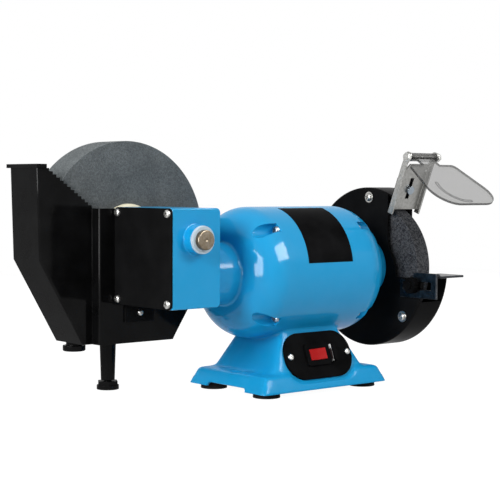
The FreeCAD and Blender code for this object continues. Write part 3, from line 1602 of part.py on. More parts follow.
def arrester():
    middle = arrester_x
    half = d.arrester_width / 2
    sheet = d.arrester_sheet
    gap = d.sliding_gap
    channel = Piece("spark_arrester", lambda body: on_arrester(body, middle, 0, 0))
    channel.pad("XZ", -gap - sheet, -gap, [
        (-half, 0), (half, 0), (half, d.arrester_bend), (-half, d.arrester_bend)])
    # The top of the sheet is bent forward between the flanges
    lean = -gap - d.arrester_lean
    tongue = half - sheet - d.arrester_relief
    channel.pad("YZ", -tongue, tongue, [
        (-gap - sheet, d.arrester_bend - sheet), (-gap, d.arrester_bend - sheet), (-gap, d.arrester_bend),
        (lean, d.arrester_height), (lean - sheet, d.arrester_height), (-gap - sheet, d.arrester_bend),
    ])
    pivot = (-d.pivot_front - gap, d.pivot_height)
    ear = d.pivot_ear_radius
    round_off = d.pivot_ear_corner
    for low, high in ((-half, sheet - half), (half - sheet, half)):
        channel.pad("YZ", low, high, [
            (-gap, -d.arrester_flange_drop), (-gap, d.arrester_height),
            (pivot[0] + ear, pivot[1] + ear, round_off), (pivot[0] - ear, pivot[1] + ear, round_off),
            (-d.arrester_flange, d.arrester_height),
            (-d.arrester_flange, -d.arrester_flange_drop),
        ])
    slot = d.arrester_bolt_radius + gap
    channel.pocket("XZ", -gap - sheet, -gap, [
        (-slot, d.arrester_slot_low), (slot, d.arrester_slot_low),
        (slot, d.arrester_slot_high), (-slot, d.arrester_slot_high)])
    channel.pocket("YZ", -half, half, circles=[pivot + (d.pivot_radius + d.running_gap,)])
    channel.done()
    front = -sheet - gap * 2
    head = on_arrester(rod((0, 0, 0), "y", d.arrester_head_height, d.arrester_head_radius),
                       middle, front - d.arrester_head_height, d.arrester_bolt_height, "y")
    length = d.guard_plate + d.arrester_tail - front
    shank = on_arrester(rod((0, 0, 0), "y", length, d.arrester_bolt_radius), middle,
                        front, d.arrester_bolt_height, "y")
    nut = on_arrester(rod((0, 0, 0), "y", d.arrester_head_height, d.arrester_head_radius), middle,
                      d.guard_plate, d.arrester_bolt_height, "y")
    keep(join("arrester_bolt", [head, shank, nut]))
    bolt = Piece("shield_pivot_bolt", lambda body: on_arrester(body, middle, 0, 0))
    nut_end = half + d.pivot_nut_height
    bolt.pad("YZ", -nut_end, nut_end, circles=[pivot + (d.pivot_radius,)])
    bolt.pad("YZ", -nut_end, -half, hexagon(d.pivot_nut_radius * 2, pivot))
    bolt.pad("YZ", half, nut_end, hexagon(d.pivot_nut_radius * 2, pivot))
    bolt.done()
    eye_shield(middle, half - sheet, pivot)


def eye_shield(middle, inside, pivot):
    """The clear plate: a sleeve on the cross bolt, a neck between the ears and a flared leaf."""
    tilt = d.arrester_tilt
    pivot_y = -d.arrester_front + pivot[0] * tilt.cos() - pivot[1] * tilt.sin()
    pivot_z = axis + d.arrester_above + pivot[0] * tilt.sin() + pivot[1] * tilt.cos()
    lean = d.shield_slope

    def hang(body):
        put(body, (middle, pivot_y, pivot_z), FreeCAD.Rotation(FreeCAD.Vector(1, 0, 0), lean.value))
        bind(body, "Placement.Rotation.Angle", lean)

    shield = Piece("eye_shield", hang)
    thick = d.shield_thickness / 2
    sleeve = inside - d.sliding_gap * 4
    shield.pad("YZ", -sleeve, sleeve, circles=[(0, 0, d.shield_sleeve_radius)])
    neck = d.shield_neck_half
    start = d.shield_neck_length
    shield.pad("XY", -thick, thick, [
        (-neck, 0),
        (-neck, -start),
        (-d.shield_top_half, -start, d.shield_neck_half / 2),
        (-d.shield_end_half, -d.shield_length, d.shield_corner),
        (d.shield_end_half, -d.shield_length, d.shield_corner),
        (d.shield_top_half, -start, d.shield_neck_half / 2),
        (neck, -start),
        (neck, 0),
    ])
    shield.pocket("YZ", -sleeve, sleeve, circles=[(0, 0, d.pivot_radius + d.running_gap)])
    shield.done()


def write_parts():
    DOC.recompute()
    faults = [item.Label for item in DOC.Objects if {"Invalid", "Error"} & set(item.State)]
    if faults:
        raise RuntimeError(f"pieces that failed: {faults}")
    for item in NODES:
        if item.Shape.isNull() or not item.Shape.isValid() or not item.Shape.Solids:
            raise RuntimeError(f"no sound solid: {item.Label}")
    os.makedirs("parts", exist_ok=True)
    for item in NODES:
        item.Shape.exportStep(f"parts/{item.Label}.step")
        print(item.Label, len(item.Shape.Solids), round(item.Shape.Volume, 1))


fill_sheet()
base_pedestal()
base_underside()
base_contents()
switch()
motor_shell()
end_bells()
motor_inside()
gearbox()
worm()
worm_wheel()
wet_spindle()
trough()
trough_support()
dry_spindle()
guard()
tool_rest()
arrester()
write_parts()
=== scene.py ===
"""Dressed scene of a wet and dry bench grinder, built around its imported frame."""

import json
import logging
import math
from collections.abc import Callable, Iterable, Sequence
from dataclasses import dataclass
from enum import Enum
from functools import cache

import bmesh
import bpy
from mathutils import Matrix, Vector


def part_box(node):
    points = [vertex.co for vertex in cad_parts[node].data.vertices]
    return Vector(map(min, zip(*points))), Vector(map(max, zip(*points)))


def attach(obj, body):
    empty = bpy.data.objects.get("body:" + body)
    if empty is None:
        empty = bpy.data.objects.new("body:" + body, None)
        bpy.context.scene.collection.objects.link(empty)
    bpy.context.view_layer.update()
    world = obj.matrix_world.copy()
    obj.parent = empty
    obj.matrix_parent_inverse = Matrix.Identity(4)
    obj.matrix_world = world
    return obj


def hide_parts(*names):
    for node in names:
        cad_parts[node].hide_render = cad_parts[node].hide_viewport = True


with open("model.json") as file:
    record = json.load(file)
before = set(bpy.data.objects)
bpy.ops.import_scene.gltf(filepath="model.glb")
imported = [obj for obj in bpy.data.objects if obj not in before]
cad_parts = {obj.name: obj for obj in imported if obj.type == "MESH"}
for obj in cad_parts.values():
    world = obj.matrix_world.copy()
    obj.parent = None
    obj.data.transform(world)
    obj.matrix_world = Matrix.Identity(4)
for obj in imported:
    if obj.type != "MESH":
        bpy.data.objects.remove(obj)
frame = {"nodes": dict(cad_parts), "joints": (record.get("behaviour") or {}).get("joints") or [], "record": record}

LOG = logging.getLogger("grinder")
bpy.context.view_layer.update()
MERGE = 1e-6
NEAR = MERGE * 5
FLAT = math.radians(0.5)
SHARP = math.radians(30)
RIGHT_ANGLE = math.radians(90)
FULL_TURN = 2 * math.pi
QUARTERS = (45, 135, 225, 315)
SCREW_FACETS, ROD_FACETS, SHAFT_FACETS, WASHER_FACETS = 28, 32, 64, 72
HUB_FACETS, BARREL_FACETS, WHEEL_FACETS = 96, 160, 192
Corner = tuple[float, ...]
Triple = tuple[float, float, float]
Socket = bpy.types.NodeSocket


def joint(name: str) -> dict:
    """Returns the joint of that name from the frame."""
    return next(entry for entry in frame["joints"] if entry["name"] == name)


MOTOR_AXIS = Vector(joint("rotor_spin")["pos_m"])
WET_AXIS = Vector(joint("wet_spin")["pos_m"])
SLOT_OF = {entry["node"]: entry["material_slot"] for entry in frame["record"]["subparts"]}
BODIES = frame["record"]["behaviour"]["bodies"]
BODY_OF = {node: body for body, nodes in BODIES.items() for node in nodes}


class Axis(Enum):
    """A main direction of the machine."""

    X = (1.0, 0.0, 0.0)
    Y = (0.0, 1.0, 0.0)
    Z = (0.0, 0.0, 1.0)

    @property
    def along(self) -> Vector:
        """The direction itself."""
        return Vector(self.value)

    @property
    def out(self) -> Vector:
        """The direction in which a turned profile starts."""
        return (Axis.X if self is Axis.Z else Axis.Z).along

    def spot(self, u: float, v: float, w: float) -> Vector:
        """Returns the point at u and v across this direction and w along it."""
        order = {Axis.X: (w, u, v), Axis.Y: (u, w, v), Axis.Z: (u, v, w)}
        return Vector(order[self])


def add_object(name: str, data: bpy.types.ID) -> bpy.types.Object:
    """Adds an object to the scene.

    Args:
        name: Name of the object.
        data: Its mesh, lamp or camera.

    Returns:
        The object, at the origin.
    """
    made = bpy.data.objects.new(name, data)
    bpy.context.scene.collection.objects.link(made)
    return made


class Nodes:
    """A node tree, with short ways to add and connect nodes."""

    noise_middle = (0.3, 0.7)

    def __init__(self, tree: bpy.types.NodeTree) -> None:
        """Works on a tree."""
        self.tree = tree

    def fill(self, node: bpy.types.Node, inputs: dict) -> None:
        """Links or sets inputs of a node.

        Args:
            node: The node.
            inputs: Other nodes' sockets, or values, by name or number of the input.
        """
        for label, given in inputs.items():
            if isinstance(given, Socket):
                self.tree.links.new(given, node.inputs[label])
            else:
                node.inputs[label].default_value = given

    def add(self, kind: str, inputs: dict, **settings: object) -> bpy.types.Node:
        """Adds a node and fills its inputs.

        Args:
            kind: Kind of the shader node.
            inputs: Sockets or values, by name or number of the input.
            settings: The node's own settings by name.

        Returns:
            The node.
        """
        node = self.tree.nodes.new(f"ShaderNode{kind}")
        for label, value in settings.items():
            setattr(node, label, value)
        self.fill(node, inputs)
        return node

    def coordinates(self) -> Socket:
        """Returns a piece's own coordinates."""
        return self.add("TexCoord", {}).outputs["Object"]

    def noise(self, vector: Socket, scale: object, detail: float) -> Socket:
        """Returns a noise over a vector."""
        inputs = {"Vector": vector, "Scale": scale, "Detail": detail}
        return self.add("TexNoise", inputs).outputs["Fac"]

    def spread(self, source: Socket, low: float = 0.0, high: float = 1.0) -> Socket:
        """Returns the middle of a noise, stretched to reach from low to high."""
        first, last = self.noise_middle
        return self.add("MapRange", {
            "Value": source, "From Min": first, "From Max": last, "To Min": low,
            "To Max": high}).outputs["Result"]

    def blend(self, mode: str, first: object, second: object, share: object) -> Socket:
        """Returns a mix of two colours, each given by a socket or a value."""
        inputs = {6: first, 7: second, 0: share}
        return self.add("Mix", inputs, data_type="RGBA", blend_type=mode).outputs[2]

    def calculate(self, operation: str, first: object, second: object) -> Socket:
        """Returns the result of an operation on two numbers."""
        return self.add("Math", {0: first, 1: second}, operation=operation).outputs[0]


class Groups:
    """Shader node groups that several finishes share."""

    dark_tint = (0.55, 0.55, 0.57, 1)
    light_tint = (0.35, 0.36, 0.38, 1)
    mottle_detail = 6
    peel_detail = 2
    streak_detail = 4
    cloud_scale = 38
    cloud_detail = 5
    cloud_range = (0.82, 1.12)

    @staticmethod
    def start(name: str, inputs: dict[str, str], outputs: dict[str, str]) -> tuple:
        """Makes an empty group with named sockets.

        Args:
            name: Name of the group.
            inputs: Names of what it takes in, with their kinds.
            outputs: Names of what it puts out, with their kinds.

        Returns:
            The group's nodes, the sockets with what it takes in and the node that puts out.
        """
        tree = bpy.data.node_groups.new(name, "ShaderNodeTree")
        for side, sockets in (("INPUT", inputs), ("OUTPUT", outputs)):
            for label, kind in sockets.items():
                tree.interface.new_socket(label, in_out=side, socket_type=f"NodeSocket{kind}")
        given = tree.nodes.new("NodeGroupInput").outputs
        return Nodes(tree), given, tree.nodes.new("NodeGroupOutput")

    @classmethod
    @cache
    def mottle(cls) -> bpy.types.NodeTree:
        """Makes the group for uneven colour: a noise lightens and darkens a colour.

        Returns:
            The group, made at the first call.
        """
        nodes, given, put = cls.start(
            "mottle", {"Color": "Color", "Scale": "Float", "Amount": "Float"},
            {"Color": "Color", "Value": "Float"})
        noise = nodes.noise(nodes.coordinates(), given["Scale"], cls.mottle_detail)
        level = nodes.spread(noise)
        dark = nodes.blend("MULTIPLY", given["Color"], cls.dark_tint, given["Amount"])
        light = nodes.blend("SCREEN", given["Color"], cls.light_tint, given["Amount"])
        nodes.fill(put, {"Color": nodes.blend("MIX", dark, light, level), "Value": level})
        return nodes.tree

    @classmethod
    @cache
    def peel(cls) -> bpy.types.NodeTree:
        """Makes the group for fine waviness of paint and moulded plastic, as a height.

        Returns:
            The group, made at the first call.
        """
        nodes, given, put = cls.start("peel", {"Scale": "Float"}, {"Height": "Float"})
        noise = nodes.noise(nodes.coordinates(), given["Scale"], cls.peel_detail)
        nodes.fill(put, {"Height": noise})
        return nodes.tree

    @classmethod
    @cache
    def grit(cls) -> bpy.types.NodeTree:
        """Makes the group for bonded grains: cells of random tone with pores between them.

        Returns:
            The group, made at the first call.
        """
        nodes, given, put = cls.start(
            "grit", {"Dark": "Color", "Light": "Color", "Scale": "Float"},
            {"Color": "Color", "Height": "Float"})
        spot = nodes.coordinates()
        cells = nodes.add("TexVoronoi", {"Vector": spot, "Scale": given["Scale"]})
        tone = nodes.add("SeparateColor", {"Color": cells.outputs["Color"]})
        grains = nodes.blend("MIX", given["Dark"], given["Light"], tone.outputs["Red"])
        slow = nodes.noise(spot, cls.cloud_scale, cls.cloud_detail)
        cloud = nodes.spread(slow, *cls.cloud_range)
        colour = nodes.blend("MULTIPLY", grains, cloud, 1.0)
        nodes.fill(put, {"Color": colour, "Height": cells.outputs["Distance"]})
        return nodes.tree

    @classmethod
    @cache
    def brushing(cls) -> bpy.types.NodeTree:
        """Makes the group for streaks along one direction, as a value and a height.

        Returns:
            The group, made at the first call.
        """
        nodes, given, put = cls.start(
            "brushing", {"Scale": "Float", "Direction": "Vector"},
            {"Value": "Float", "Height": "Float"})
        drawn = nodes.add("Mapping", {"Vector": nodes.coordinates(), "Scale": given["Direction"]})
        noise = nodes.noise(drawn.outputs["Vector"], given["Scale"], cls.streak_detail)
        nodes.fill(put, {"Value": nodes.spread(noise), "Height": noise})
        return nodes.tree


class Surface(Nodes):
    """A new material's nodes round its shader."""

    def __init__(self, name: str) -> None:
        """Starts a material.

        Args:
            name: Name of the material.
        """
        self.material = bpy.data.materials.new(name)
        self.material.use_nodes = True
        super().__init__(self.material.node_tree)
        self.shader = self.tree.nodes["Principled BSDF"]

    def emboss(self, height: Socket, depth: float) -> None:
        """Feeds a height of some depth into the shader's normal."""
        bump = self.add("Bump", {"Distance": depth, "Strength": 1.0, "Height": height})
        self.fill(self.shader, {"Normal": bump.outputs["Normal"]})


@dataclass(frozen=True)
class Finish:
    """A painted or moulded finish: a slightly uneven colour under fine waviness."""

    name: str
    colour: Triple
    roughness: float = 0.4
    metallic: float = 0.0
    index: float = 1.45
    coat: float = 0.0
    coat_roughness: float = 0.06
    mottle: float = 0.06
    mottle_scale: float = 45.0
    rough_swing: float = 0.06
    least_roughness: float = 0.02
    peel_scale: float = 420.0
    peel_height: float = 0.00004

    @cache
    def material(self) -> bpy.types.Material:
        """Makes the finish's material.

        Returns:
            The material, made at the first call.
        """
        surface = Surface(self.name)
        surface.material.diffuse_color = (*self.colour, 1)
        surface.fill(surface.shader, {
            "Metallic": self.metallic, "IOR": self.index, "Coat Weight": self.coat,
            "Coat Roughness": self.coat_roughness})
        self.paint(surface)
        return surface.material

    def swing(self, surface: Surface, value: Socket) -> None:
        """Lets the roughness swing about its middle.

        Args:
            surface: The material's nodes.
            value: Value that the roughness follows, from 0 to 1.
        """
        least = max(self.roughness - self.rough_swing, self.least_roughness)
        level = surface.add("MapRange", {
            "Value": value, "To Min": least, "To Max": self.roughness + self.rough_swing})
        surface.fill(surface.shader, {"Roughness": level.outputs["Result"]})

    def tint(self, surface: Surface) -> Socket:
        """Gives the shader its uneven colour.

        Args:
            surface: The material's nodes.

        Returns:
            The value that the unevenness follows.
        """
        mottle = surface.add("Group", {
            "Color": (*self.colour, 1), "Scale": self.mottle_scale,
            "Amount": self.mottle}, node_tree=Groups.mottle())
        surface.fill(surface.shader, {"Base Color": mottle.outputs["Color"]})
        return mottle.outputs["Value"]

    def paint(self, surface: Surface) -> None:
        """Connects the finish to the shader.

        Args:
            surface: The material's nodes.
        """
        self.swing(surface, self.tint(surface))
        peel = surface.add("Group", {"Scale": self.peel_scale}, node_tree=Groups.peel())
        surface.emboss(peel.outputs["Height"], self.peel_height)


@dataclass(frozen=True)
class MetalFinish(Finish):
    """Bare or plated metal with streaks from working."""

    metallic: float = 1.0
    streak: Triple = (1.0, 1.0, 14.0)
    streak_scale: float = 120.0

    def paint(self, surface: Surface) -> None:
        """Connects uneven plating colour and streaked roughness to the shader.

        Args:
            surface: The material's nodes.
        """
        self.tint(surface)
        streaks = surface.add("Group", {
            "Scale": self.streak_scale, "Direction": self.streak}, node_tree=Groups.brushing())
        self.swing(surface, streaks.outputs["Value"])
        surface.emboss(streaks.outputs["Height"], self.peel_height)


@dataclass(frozen=True)
class StoneFinish(Finish):
    """Bonded abrasive: dark and light grains with pores between them, and a rim painted lighter for the light that
    falls on it.
    """

    light: Triple = (0.2, 0.2, 0.2)
    grain_scale: float = 900.0
    pore_depth: float = 0.0003
    hub: Triple = (0.0, 0.0, 0.0)
    across: Triple = (1.0, 0.0, 1.0)
    rim_radius: float = 1.0
    # Painted light on the rim: how many times lighter than the sides the rim is painted.
    painted_rim_light: float = 1.0

    def rim(self, surface: Surface) -> Socket:
        """Tells the rim of the wheel from its sides, for the painted light on the rim.

        Args:
            surface: The material's nodes.

        Returns:
            A socket with 1 on the rim and 0 on the sides.
        """
        flat = surface.add(
            "VectorMath", {0: surface.coordinates(), 1: self.across}, operation="MULTIPLY")
        reach = surface.add(
            "VectorMath", {0: flat.outputs["Vector"], 1: self.hub}, operation="DISTANCE")
        return surface.calculate("GREATER_THAN", reach.outputs["Value"], self.rim_radius)

    def paint(self, surface: Surface) -> None:
        """Connects the grains to the shader.

        Args:
            surface: The material's nodes.
        """
        grit = surface.add("Group", {
            "Dark": (*self.colour, 1), "Light": (*self.light, 1),
            "Scale": self.grain_scale}, node_tree=Groups.grit())
        # Painted light: the rim's colour is multiplied up, lighter than the sides for the light that falls on it
        # from above.
        gain = (self.painted_rim_light, self.painted_rim_light, self.painted_rim_light, 1)
        rim_with_painted_light = surface.blend("MULTIPLY", grit.outputs["Color"], gain, self.rim(surface))
        surface.fill(surface.shader, {"Base Color": rim_with_painted_light})
        mottle = surface.add("Group", {"Scale": self.mottle_scale}, node_tree=Groups.mottle())
        self.swing(surface, mottle.outputs["Value"])
        surface.emboss(grit.outputs["Height"], self.pore_depth)


@dataclass(frozen=True)
class ClearFinish(Finish):
    """Clear sheet with a grey tint and faint haze."""

    cover: float = 0.26

    def paint(self, surface: Surface) -> None:
        """Makes the shader partly see-through and slightly wavy."""
        surface.fill(surface.shader, {"Alpha": self.cover})
        super().paint(surface)


BLUE = (0.006, 0.31, 0.62)
PITCH = (0.0024, 0.0024, 0.0025)
BLUE_ENAMEL = Finish(
    "gloss_blue", BLUE, 0.34, index=1.08, coat=0.4, coat_roughness=0.08, mottle=0.02,
    rough_swing=0.05, peel_scale=200, peel_height=0.00002)
BLUE_CASTING = Finish(
    "cast_blue", BLUE, 0.36, index=1.08, coat=0.16, coat_roughness=0.18, mottle=0.03,
    rough_swing=0.05, peel_scale=160, peel_height=0.00003)
BLACK_PAINT = Finish(
    "satin_black", (0.005, 0.005, 0.0052), 0.34, index=1.06, mottle=0.008, peel_scale=500)
BLACK_PLASTIC = Finish(
    "moulded_black", PITCH, 0.3, index=1.02, coat=0.13, coat_roughness=0.1, mottle=0.008,
    peel_scale=900, peel_height=0.00002)
LID_BLACK = Finish(
    "lid_black", (0.006, 0.006, 0.0062), 0.42, index=1.16, mottle=0.02, peel_scale=700,
    peel_height=0.00005)
LABEL_FOIL = Finish(
    "label_foil", (0.0026, 0.0026, 0.0028), 0.4, index=1.04, mottle=0.012, peel_scale=1200)
SWITCH_BLACK = Finish("switch_black", PITCH, 0.4, index=1.035, mottle=0.01, peel_scale=1500)
GLOSS_BLACK = Finish(
    "gloss_black", (0.003, 0.003, 0.0032), 0.12, index=1.5, mottle=0.01, rough_swing=0.03,
    peel_scale=1500, peel_height=0.00001)
RUBBER = Finish(
    "foot_rubber", (0.005, 0.005, 0.0055), 0.75, index=1.15, mottle=0.03, peel_scale=1800)
RED_PLASTIC = Finish(
    "rocker_red", (0.38, 0.006, 0.006), 0.3, index=1.05, mottle=0.03, peel_scale=1200)
ZINC = MetalFinish(
    "bright_zinc", (0.4, 0.397, 0.38), 0.3, mottle=0.16, mottle_scale=220, rough_swing=0.1,
    peel_height=0.000012)
GALVANISED = MetalFinish(
    "galvanised", (0.27, 0.267, 0.252), 0.38, mottle=0.22, mottle_scale=320, rough_swing=0.12,
    streak=(1.0, 6.0, 1.0), streak_scale=260, peel_height=0.000014)
DARK_ZINC = MetalFinish(
    "dark_zinc", (0.014, 0.016, 0.019), 0.32, mottle=0.12, mottle_scale=160, peel_height=0.00001)
SHAFT_STEEL = MetalFinish(
    "shaft_steel", (0.13, 0.1, 0.062), 0.34, mottle=0.2, mottle_scale=420, streak=(1, 1, 1),
    streak_scale=600, peel_height=0.00001)
# Painted reflection: this zinc is tinted blue for the blue enamel that the tie screws reflect in their pockets,
# and it is darker than bright zinc; the arrester stud shares it.
ZINC_PAINTED_BLUE_REFLECTION = MetalFinish(
    "zinc_painted_blue_reflection", (0.26, 0.3, 0.34), 0.3, mottle=0.12, mottle_scale=220, peel_height=0.000012)
COPPER = MetalFinish(
    "varnished_copper", (0.55, 0.24, 0.1), 0.4, mottle=0.1, streak_scale=400)
BRONZE = MetalFinish("cut_bronze", (0.55, 0.38, 0.16), 0.38, mottle=0.08)
NYLON = Finish(
    "turned_nylon", (0.47, 0.58, 0.66), 0.45, index=1.3, mottle=0.03, peel_scale=900)
CREAM = Finish("moulded_cream", (0.8, 0.75, 0.56), 0.5, index=1.3, mottle=0.05, peel_scale=900)
# Painted light: the wheel's rim is painted 1.38 times lighter than its sides, for the light that falls on it from
# above.
WET_STONE = StoneFinish(
    "fine_grit", (0.078, 0.087, 0.09), 0.9, index=1.2, light=(0.128, 0.141, 0.146),
    grain_scale=800, pore_depth=0.0003, hub=(WET_AXIS.x, 0, WET_AXIS.z), rim_radius=0.0994,
    painted_rim_light=1.38)
DRY_STONE = StoneFinish(
    "coarse_grit", (0.02, 0.021, 0.025), 0.8, index=1.12, light=(0.1, 0.103, 0.11),
    grain_scale=700, pore_depth=0.0004)
CLEAR = ClearFinish(
    "grey_clear", (0.13, 0.129, 0.122), 0.12, index=1.45, mottle=0.03, peel_scale=60,
    peel_height=0.00002, cover=0.42)
CLEAR_RIDGE = ClearFinish(
    "clear_ridge", (0.07, 0.07, 0.068), 0.4, index=1.1, mottle=0.02, peel_scale=60,
    peel_height=0.00002, cover=0.5)

FINISH_OF_SLOT = {
    "blue_enamel": BLUE_ENAMEL,
    "black_paint": BLACK_PAINT,
    "black_plastic": BLACK_PLASTIC,
    "rubber": RUBBER,
    "red_plastic": RED_PLASTIC,
    "knob_plastic": SWITCH_BLACK,
    "zinc_steel": ZINC,
    "bearing_steel": SHAFT_STEEL,
    "copper_wire": COPPER,
    "gear_bronze": BRONZE,
    "white_nylon": NYLON,
    "cream_plastic": CREAM,
    "wet_stone": WET_STONE,
    "dry_stone": DRY_STONE,
    "clear_sheet": CLEAR,
}


class Shape:
    """A mesh under construction, in metres, in the frame of the machine."""

    ring_segments = ((0.0015, 3), (0.006, 6), (math.inf, 18))
    smooth_factor = 0.5

    def __init__(self) -> None:
        """Starts with nothing."""
        self.bm = bmesh.new()

    @classmethod
    def of_node(cls, node: str) -> "Shape":
        """Copies a node.

        Args:
            node: Name of the node.

        Returns:
            A merged copy of its mesh, with its flat faces joined up.
        """
        made = cls()
        made.bm.from_mesh(frame["nodes"][node].data)
        bmesh.ops.remove_doubles(made.bm, verts=made.bm.verts, dist=MERGE)
        bmesh.ops.dissolve_limit(
            made.bm, angle_limit=FLAT, verts=made.bm.verts, edges=made.bm.edges)
        return made

    @classmethod
    def turned(cls, profile: Sequence[Corner], centre: Vector, axis: Axis,
               steps: int = HUB_FACETS, closed: bool = True) -> "Shape":
        """Turns a profile about an axis.

        Args:
            profile: Corners (along, radius) or (along, radius, rounding) in metres.
            centre: Point on the axis from which the profile counts.
            axis: Direction of the axis.
            steps: Number of facets round the axis.
            closed: Whether the profile closes on itself.

        Returns:
            The turned shape, with the given corners rounded.
        """
        made = cls()
        verts = [made.bm.verts.new(centre + axis.along * spot[0] + axis.out * spot[1])
                 for spot in profile]
        pairs = list(zip(verts, verts[1:])) + ([(verts[-1], verts[0])] if closed else [])
        edges = [made.bm.edges.new(pair) for pair in pairs]
        bmesh.ops.spin(made.bm, geom=verts + edges, cent=centre, axis=axis.along,
                       angle=FULL_TURN, steps=steps, use_merge=True)
        bmesh.ops.remove_doubles(made.bm, verts=made.bm.verts, dist=MERGE)
        bmesh.ops.recalc_face_normals(made.bm, faces=made.bm.faces)
        for spot in profile:
            if len(spot) > 2:
                made.round_ring(centre, axis, *spot)
        return made

    @classmethod
    def disc(cls, node: str, centre: Vector, axis: Axis, bore: float, edge: float,
             steps: int) -> "Shape":
        """Turns a bored disc as wide as a node.

        Args:
            node: Node that gives the width and the radius.
            centre: Point on the axis, at zero along it.
            axis: Direction of the axis.
            bore: Radius of the bore.
            edge: Rounding of the two rims.
            steps: Number of facets round the axis.

        Returns:
            The disc.
        """
        low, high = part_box(node)
        radius = (high.z - low.z) / 2
        start, end = low.dot(axis.along), high.dot(axis.along)
        profile = [(start, bore), (start, radius, edge), (end, radius, edge), (end, bore)]
        return cls.turned(profile, centre, axis, steps)

    @classmethod
    def rod(cls, centre: Vector, axis: Axis, length: float, radius: float,
            steps: int = ROD_FACETS) -> "Shape":
        """Returns a round bar that starts at a centre."""
        profile = [(0, 0), (0, radius), (length, radius), (length, 0)]
        return cls.turned(profile, centre, axis, steps, closed=False)

    @classmethod
    def slab(cls, outline: Sequence[Corner], axis: Axis, low: float, high: float,
             round_steps: int = 8) -> "Shape":
        """Extrudes an outline along an axis.

        Args:
            outline: Corners (u, v) or (u, v, rounding) across the axis, in metres.
            axis: Direction of the extrusion.
            low: Start along the axis.
            high: End along the axis.
            round_steps: Facets of each rounded corner.

        Returns:
            The closed slab.
        """
        made = cls()
        verts = [made.bm.verts.new(axis.spot(spot[0], spot[1], low)) for spot in outline]
        made.bm.faces.new(verts)
        for rounding in sorted({spot[2] for spot in outline if len(spot) > 2}):
            chosen = [vert for vert, spot in zip(verts, outline) if spot[2:] == (rounding,)]
            made.bevel(chosen, rounding, round_steps, clamp=False, affect="VERTICES")
        raised = bmesh.ops.extrude_face_region(made.bm, geom=list(made.bm.faces))["geom"]
        moved = [item for item in raised if isinstance(item, bmesh.types.BMVert)]
        bmesh.ops.translate(made.bm, verts=moved, vec=axis.along * (high - low))
        bmesh.ops.recalc_face_normals(made.bm, faces=made.bm.faces)
        return made

    def round_ring(self, centre: Vector, axis: Axis, along: float, radius: float,
                   rounding: float) -> None:
        """Rounds a ring edge of a turned shape.

        Args:
            centre: Point on the axis from which the profile counts.
            axis: Direction of the axis.
            along: Place of the ring along the axis.
            radius: Radius of the ring.
            rounding: Width of the rounding.
        """
        def on_ring(vert: bmesh.types.BMVert) -> bool:
            """Tells whether a vertex lies on the ring.

            Args:
                vert: Vertex of the mesh.

            Returns:
                True for a vertex on the ring.
            """
            arm = vert.co - centre
            height = arm.dot(axis.along)
            reach = (arm - axis.along * height).length
            return abs(height - along) < NEAR and abs(reach - radius) < NEAR

        edges = [edge for edge in self.bm.edges if all(on_ring(vert) for vert in edge.verts)]
        segments = next(count for limit, count in self.ring_segments if rounding < limit)
        self.bevel(edges, rounding, segments)

    def bevel(self, geometry: Iterable, width: float, segments: int, clamp: bool = True,
              affect: str = "EDGES") -> "Shape":
        """Rounds edges or corners of the mesh.

        Args:
            geometry: The edges or corners.
            width: Width of the rounding.
            segments: Facets across the rounding.
            clamp: Whether all widths shrink to what the tightest place allows.
            affect: EDGES or VERTICES.

        Returns:
            This shape, changed.
        """
        bmesh.ops.bevel(self.bm, geom=list(geometry), offset=width, offset_type="OFFSET",
                        segments=segments, profile=0.5, affect=affect, material=-1,
                        clamp_overlap=clamp)
        return self

    def soften(self, width: float, segments: int, chosen: Callable[[bmesh.types.BMEdge], bool],
               clamp: bool = True) -> "Shape":
        """Rounds the sharp edges that a test chooses."""
        edges = [edge for edge in self.bm.edges if len(edge.link_faces) == 2
                 and edge.calc_face_angle() > SHARP and chosen(edge)]
        return self.bevel(edges, width, segments, clamp)

    def move(self, matrix: Matrix) -> "Shape":
        """Moves the shape by a matrix."""
        bmesh.ops.transform(self.bm, matrix=matrix, verts=self.bm.verts)
        return self

    def add(self, other: "Shape") -> "Shape":
        """Adds another shape's mesh to this one.

        Args:
            other: The second shape.

        Returns:
            This shape, changed.
        """
        mesh = other.mesh("added")
        self.bm.from_mesh(mesh)
        bpy.data.meshes.remove(mesh)
        return self

    def copy(self) -> "Shape":
        """Copies the shape.

        Returns:
            The copy.
        """
        made = Shape()
        made.bm = self.bm.copy()
        return made

    def mesh(self, name: str) -> bpy.types.Mesh:
        """Puts the shape into a new mesh.

        Args:
            name: Name of the mesh.

        Returns:
            The mesh.
        """
        made = bpy.data.meshes.new(name)
        self.bm.to_mesh(made)
        return made

    def worked(self, kind: str, **settings: object) -> "Shape":
        """Runs the shape through a modifier.

        Args:
            kind: Kind of the modifier.
            settings: Its settings by name.

        Returns:
            This shape, changed.
        """
        item = add_object("work", self.mesh("work"))
        modifier = item.modifiers.new("work", kind)
        for label, value in settings.items():
            setattr(modifier, label, value)
        graph = bpy.context.evaluated_depsgraph_get()
        result = bpy.data.meshes.new_from_object(item.evaluated_get(graph))
        self.bm.free()
        self.bm = bmesh.new()
        self.bm.from_mesh(result)
        source = item.data
        bpy.data.objects.remove(item)
        for mesh in (source, result):
            bpy.data.meshes.remove(mesh)
        return self

    def combine(self, other: "Shape", mode: str) -> "Shape":
        """Joins the shape with another one, or cuts the other one out of it.

        Args:
            other: The second shape.
            mode: UNION or DIFFERENCE.

        Returns:
            This shape, changed.
        """
        tool = add_object("tool", other.mesh("tool"))
        self.worked("BOOLEAN", object=tool, operation=mode, solver="EXACT")
        mesh = tool.data
        bpy.data.objects.remove(tool)
        bpy.data.meshes.remove(mesh)
        return self

    def cut(self, other: "Shape") -> "Shape":
        """Cuts another shape out of this one."""
        return self.combine(other, "DIFFERENCE")

    def join(self, other: "Shape") -> "Shape":
        """Joins another shape to this one as one skin."""
        return self.combine(other, "UNION")

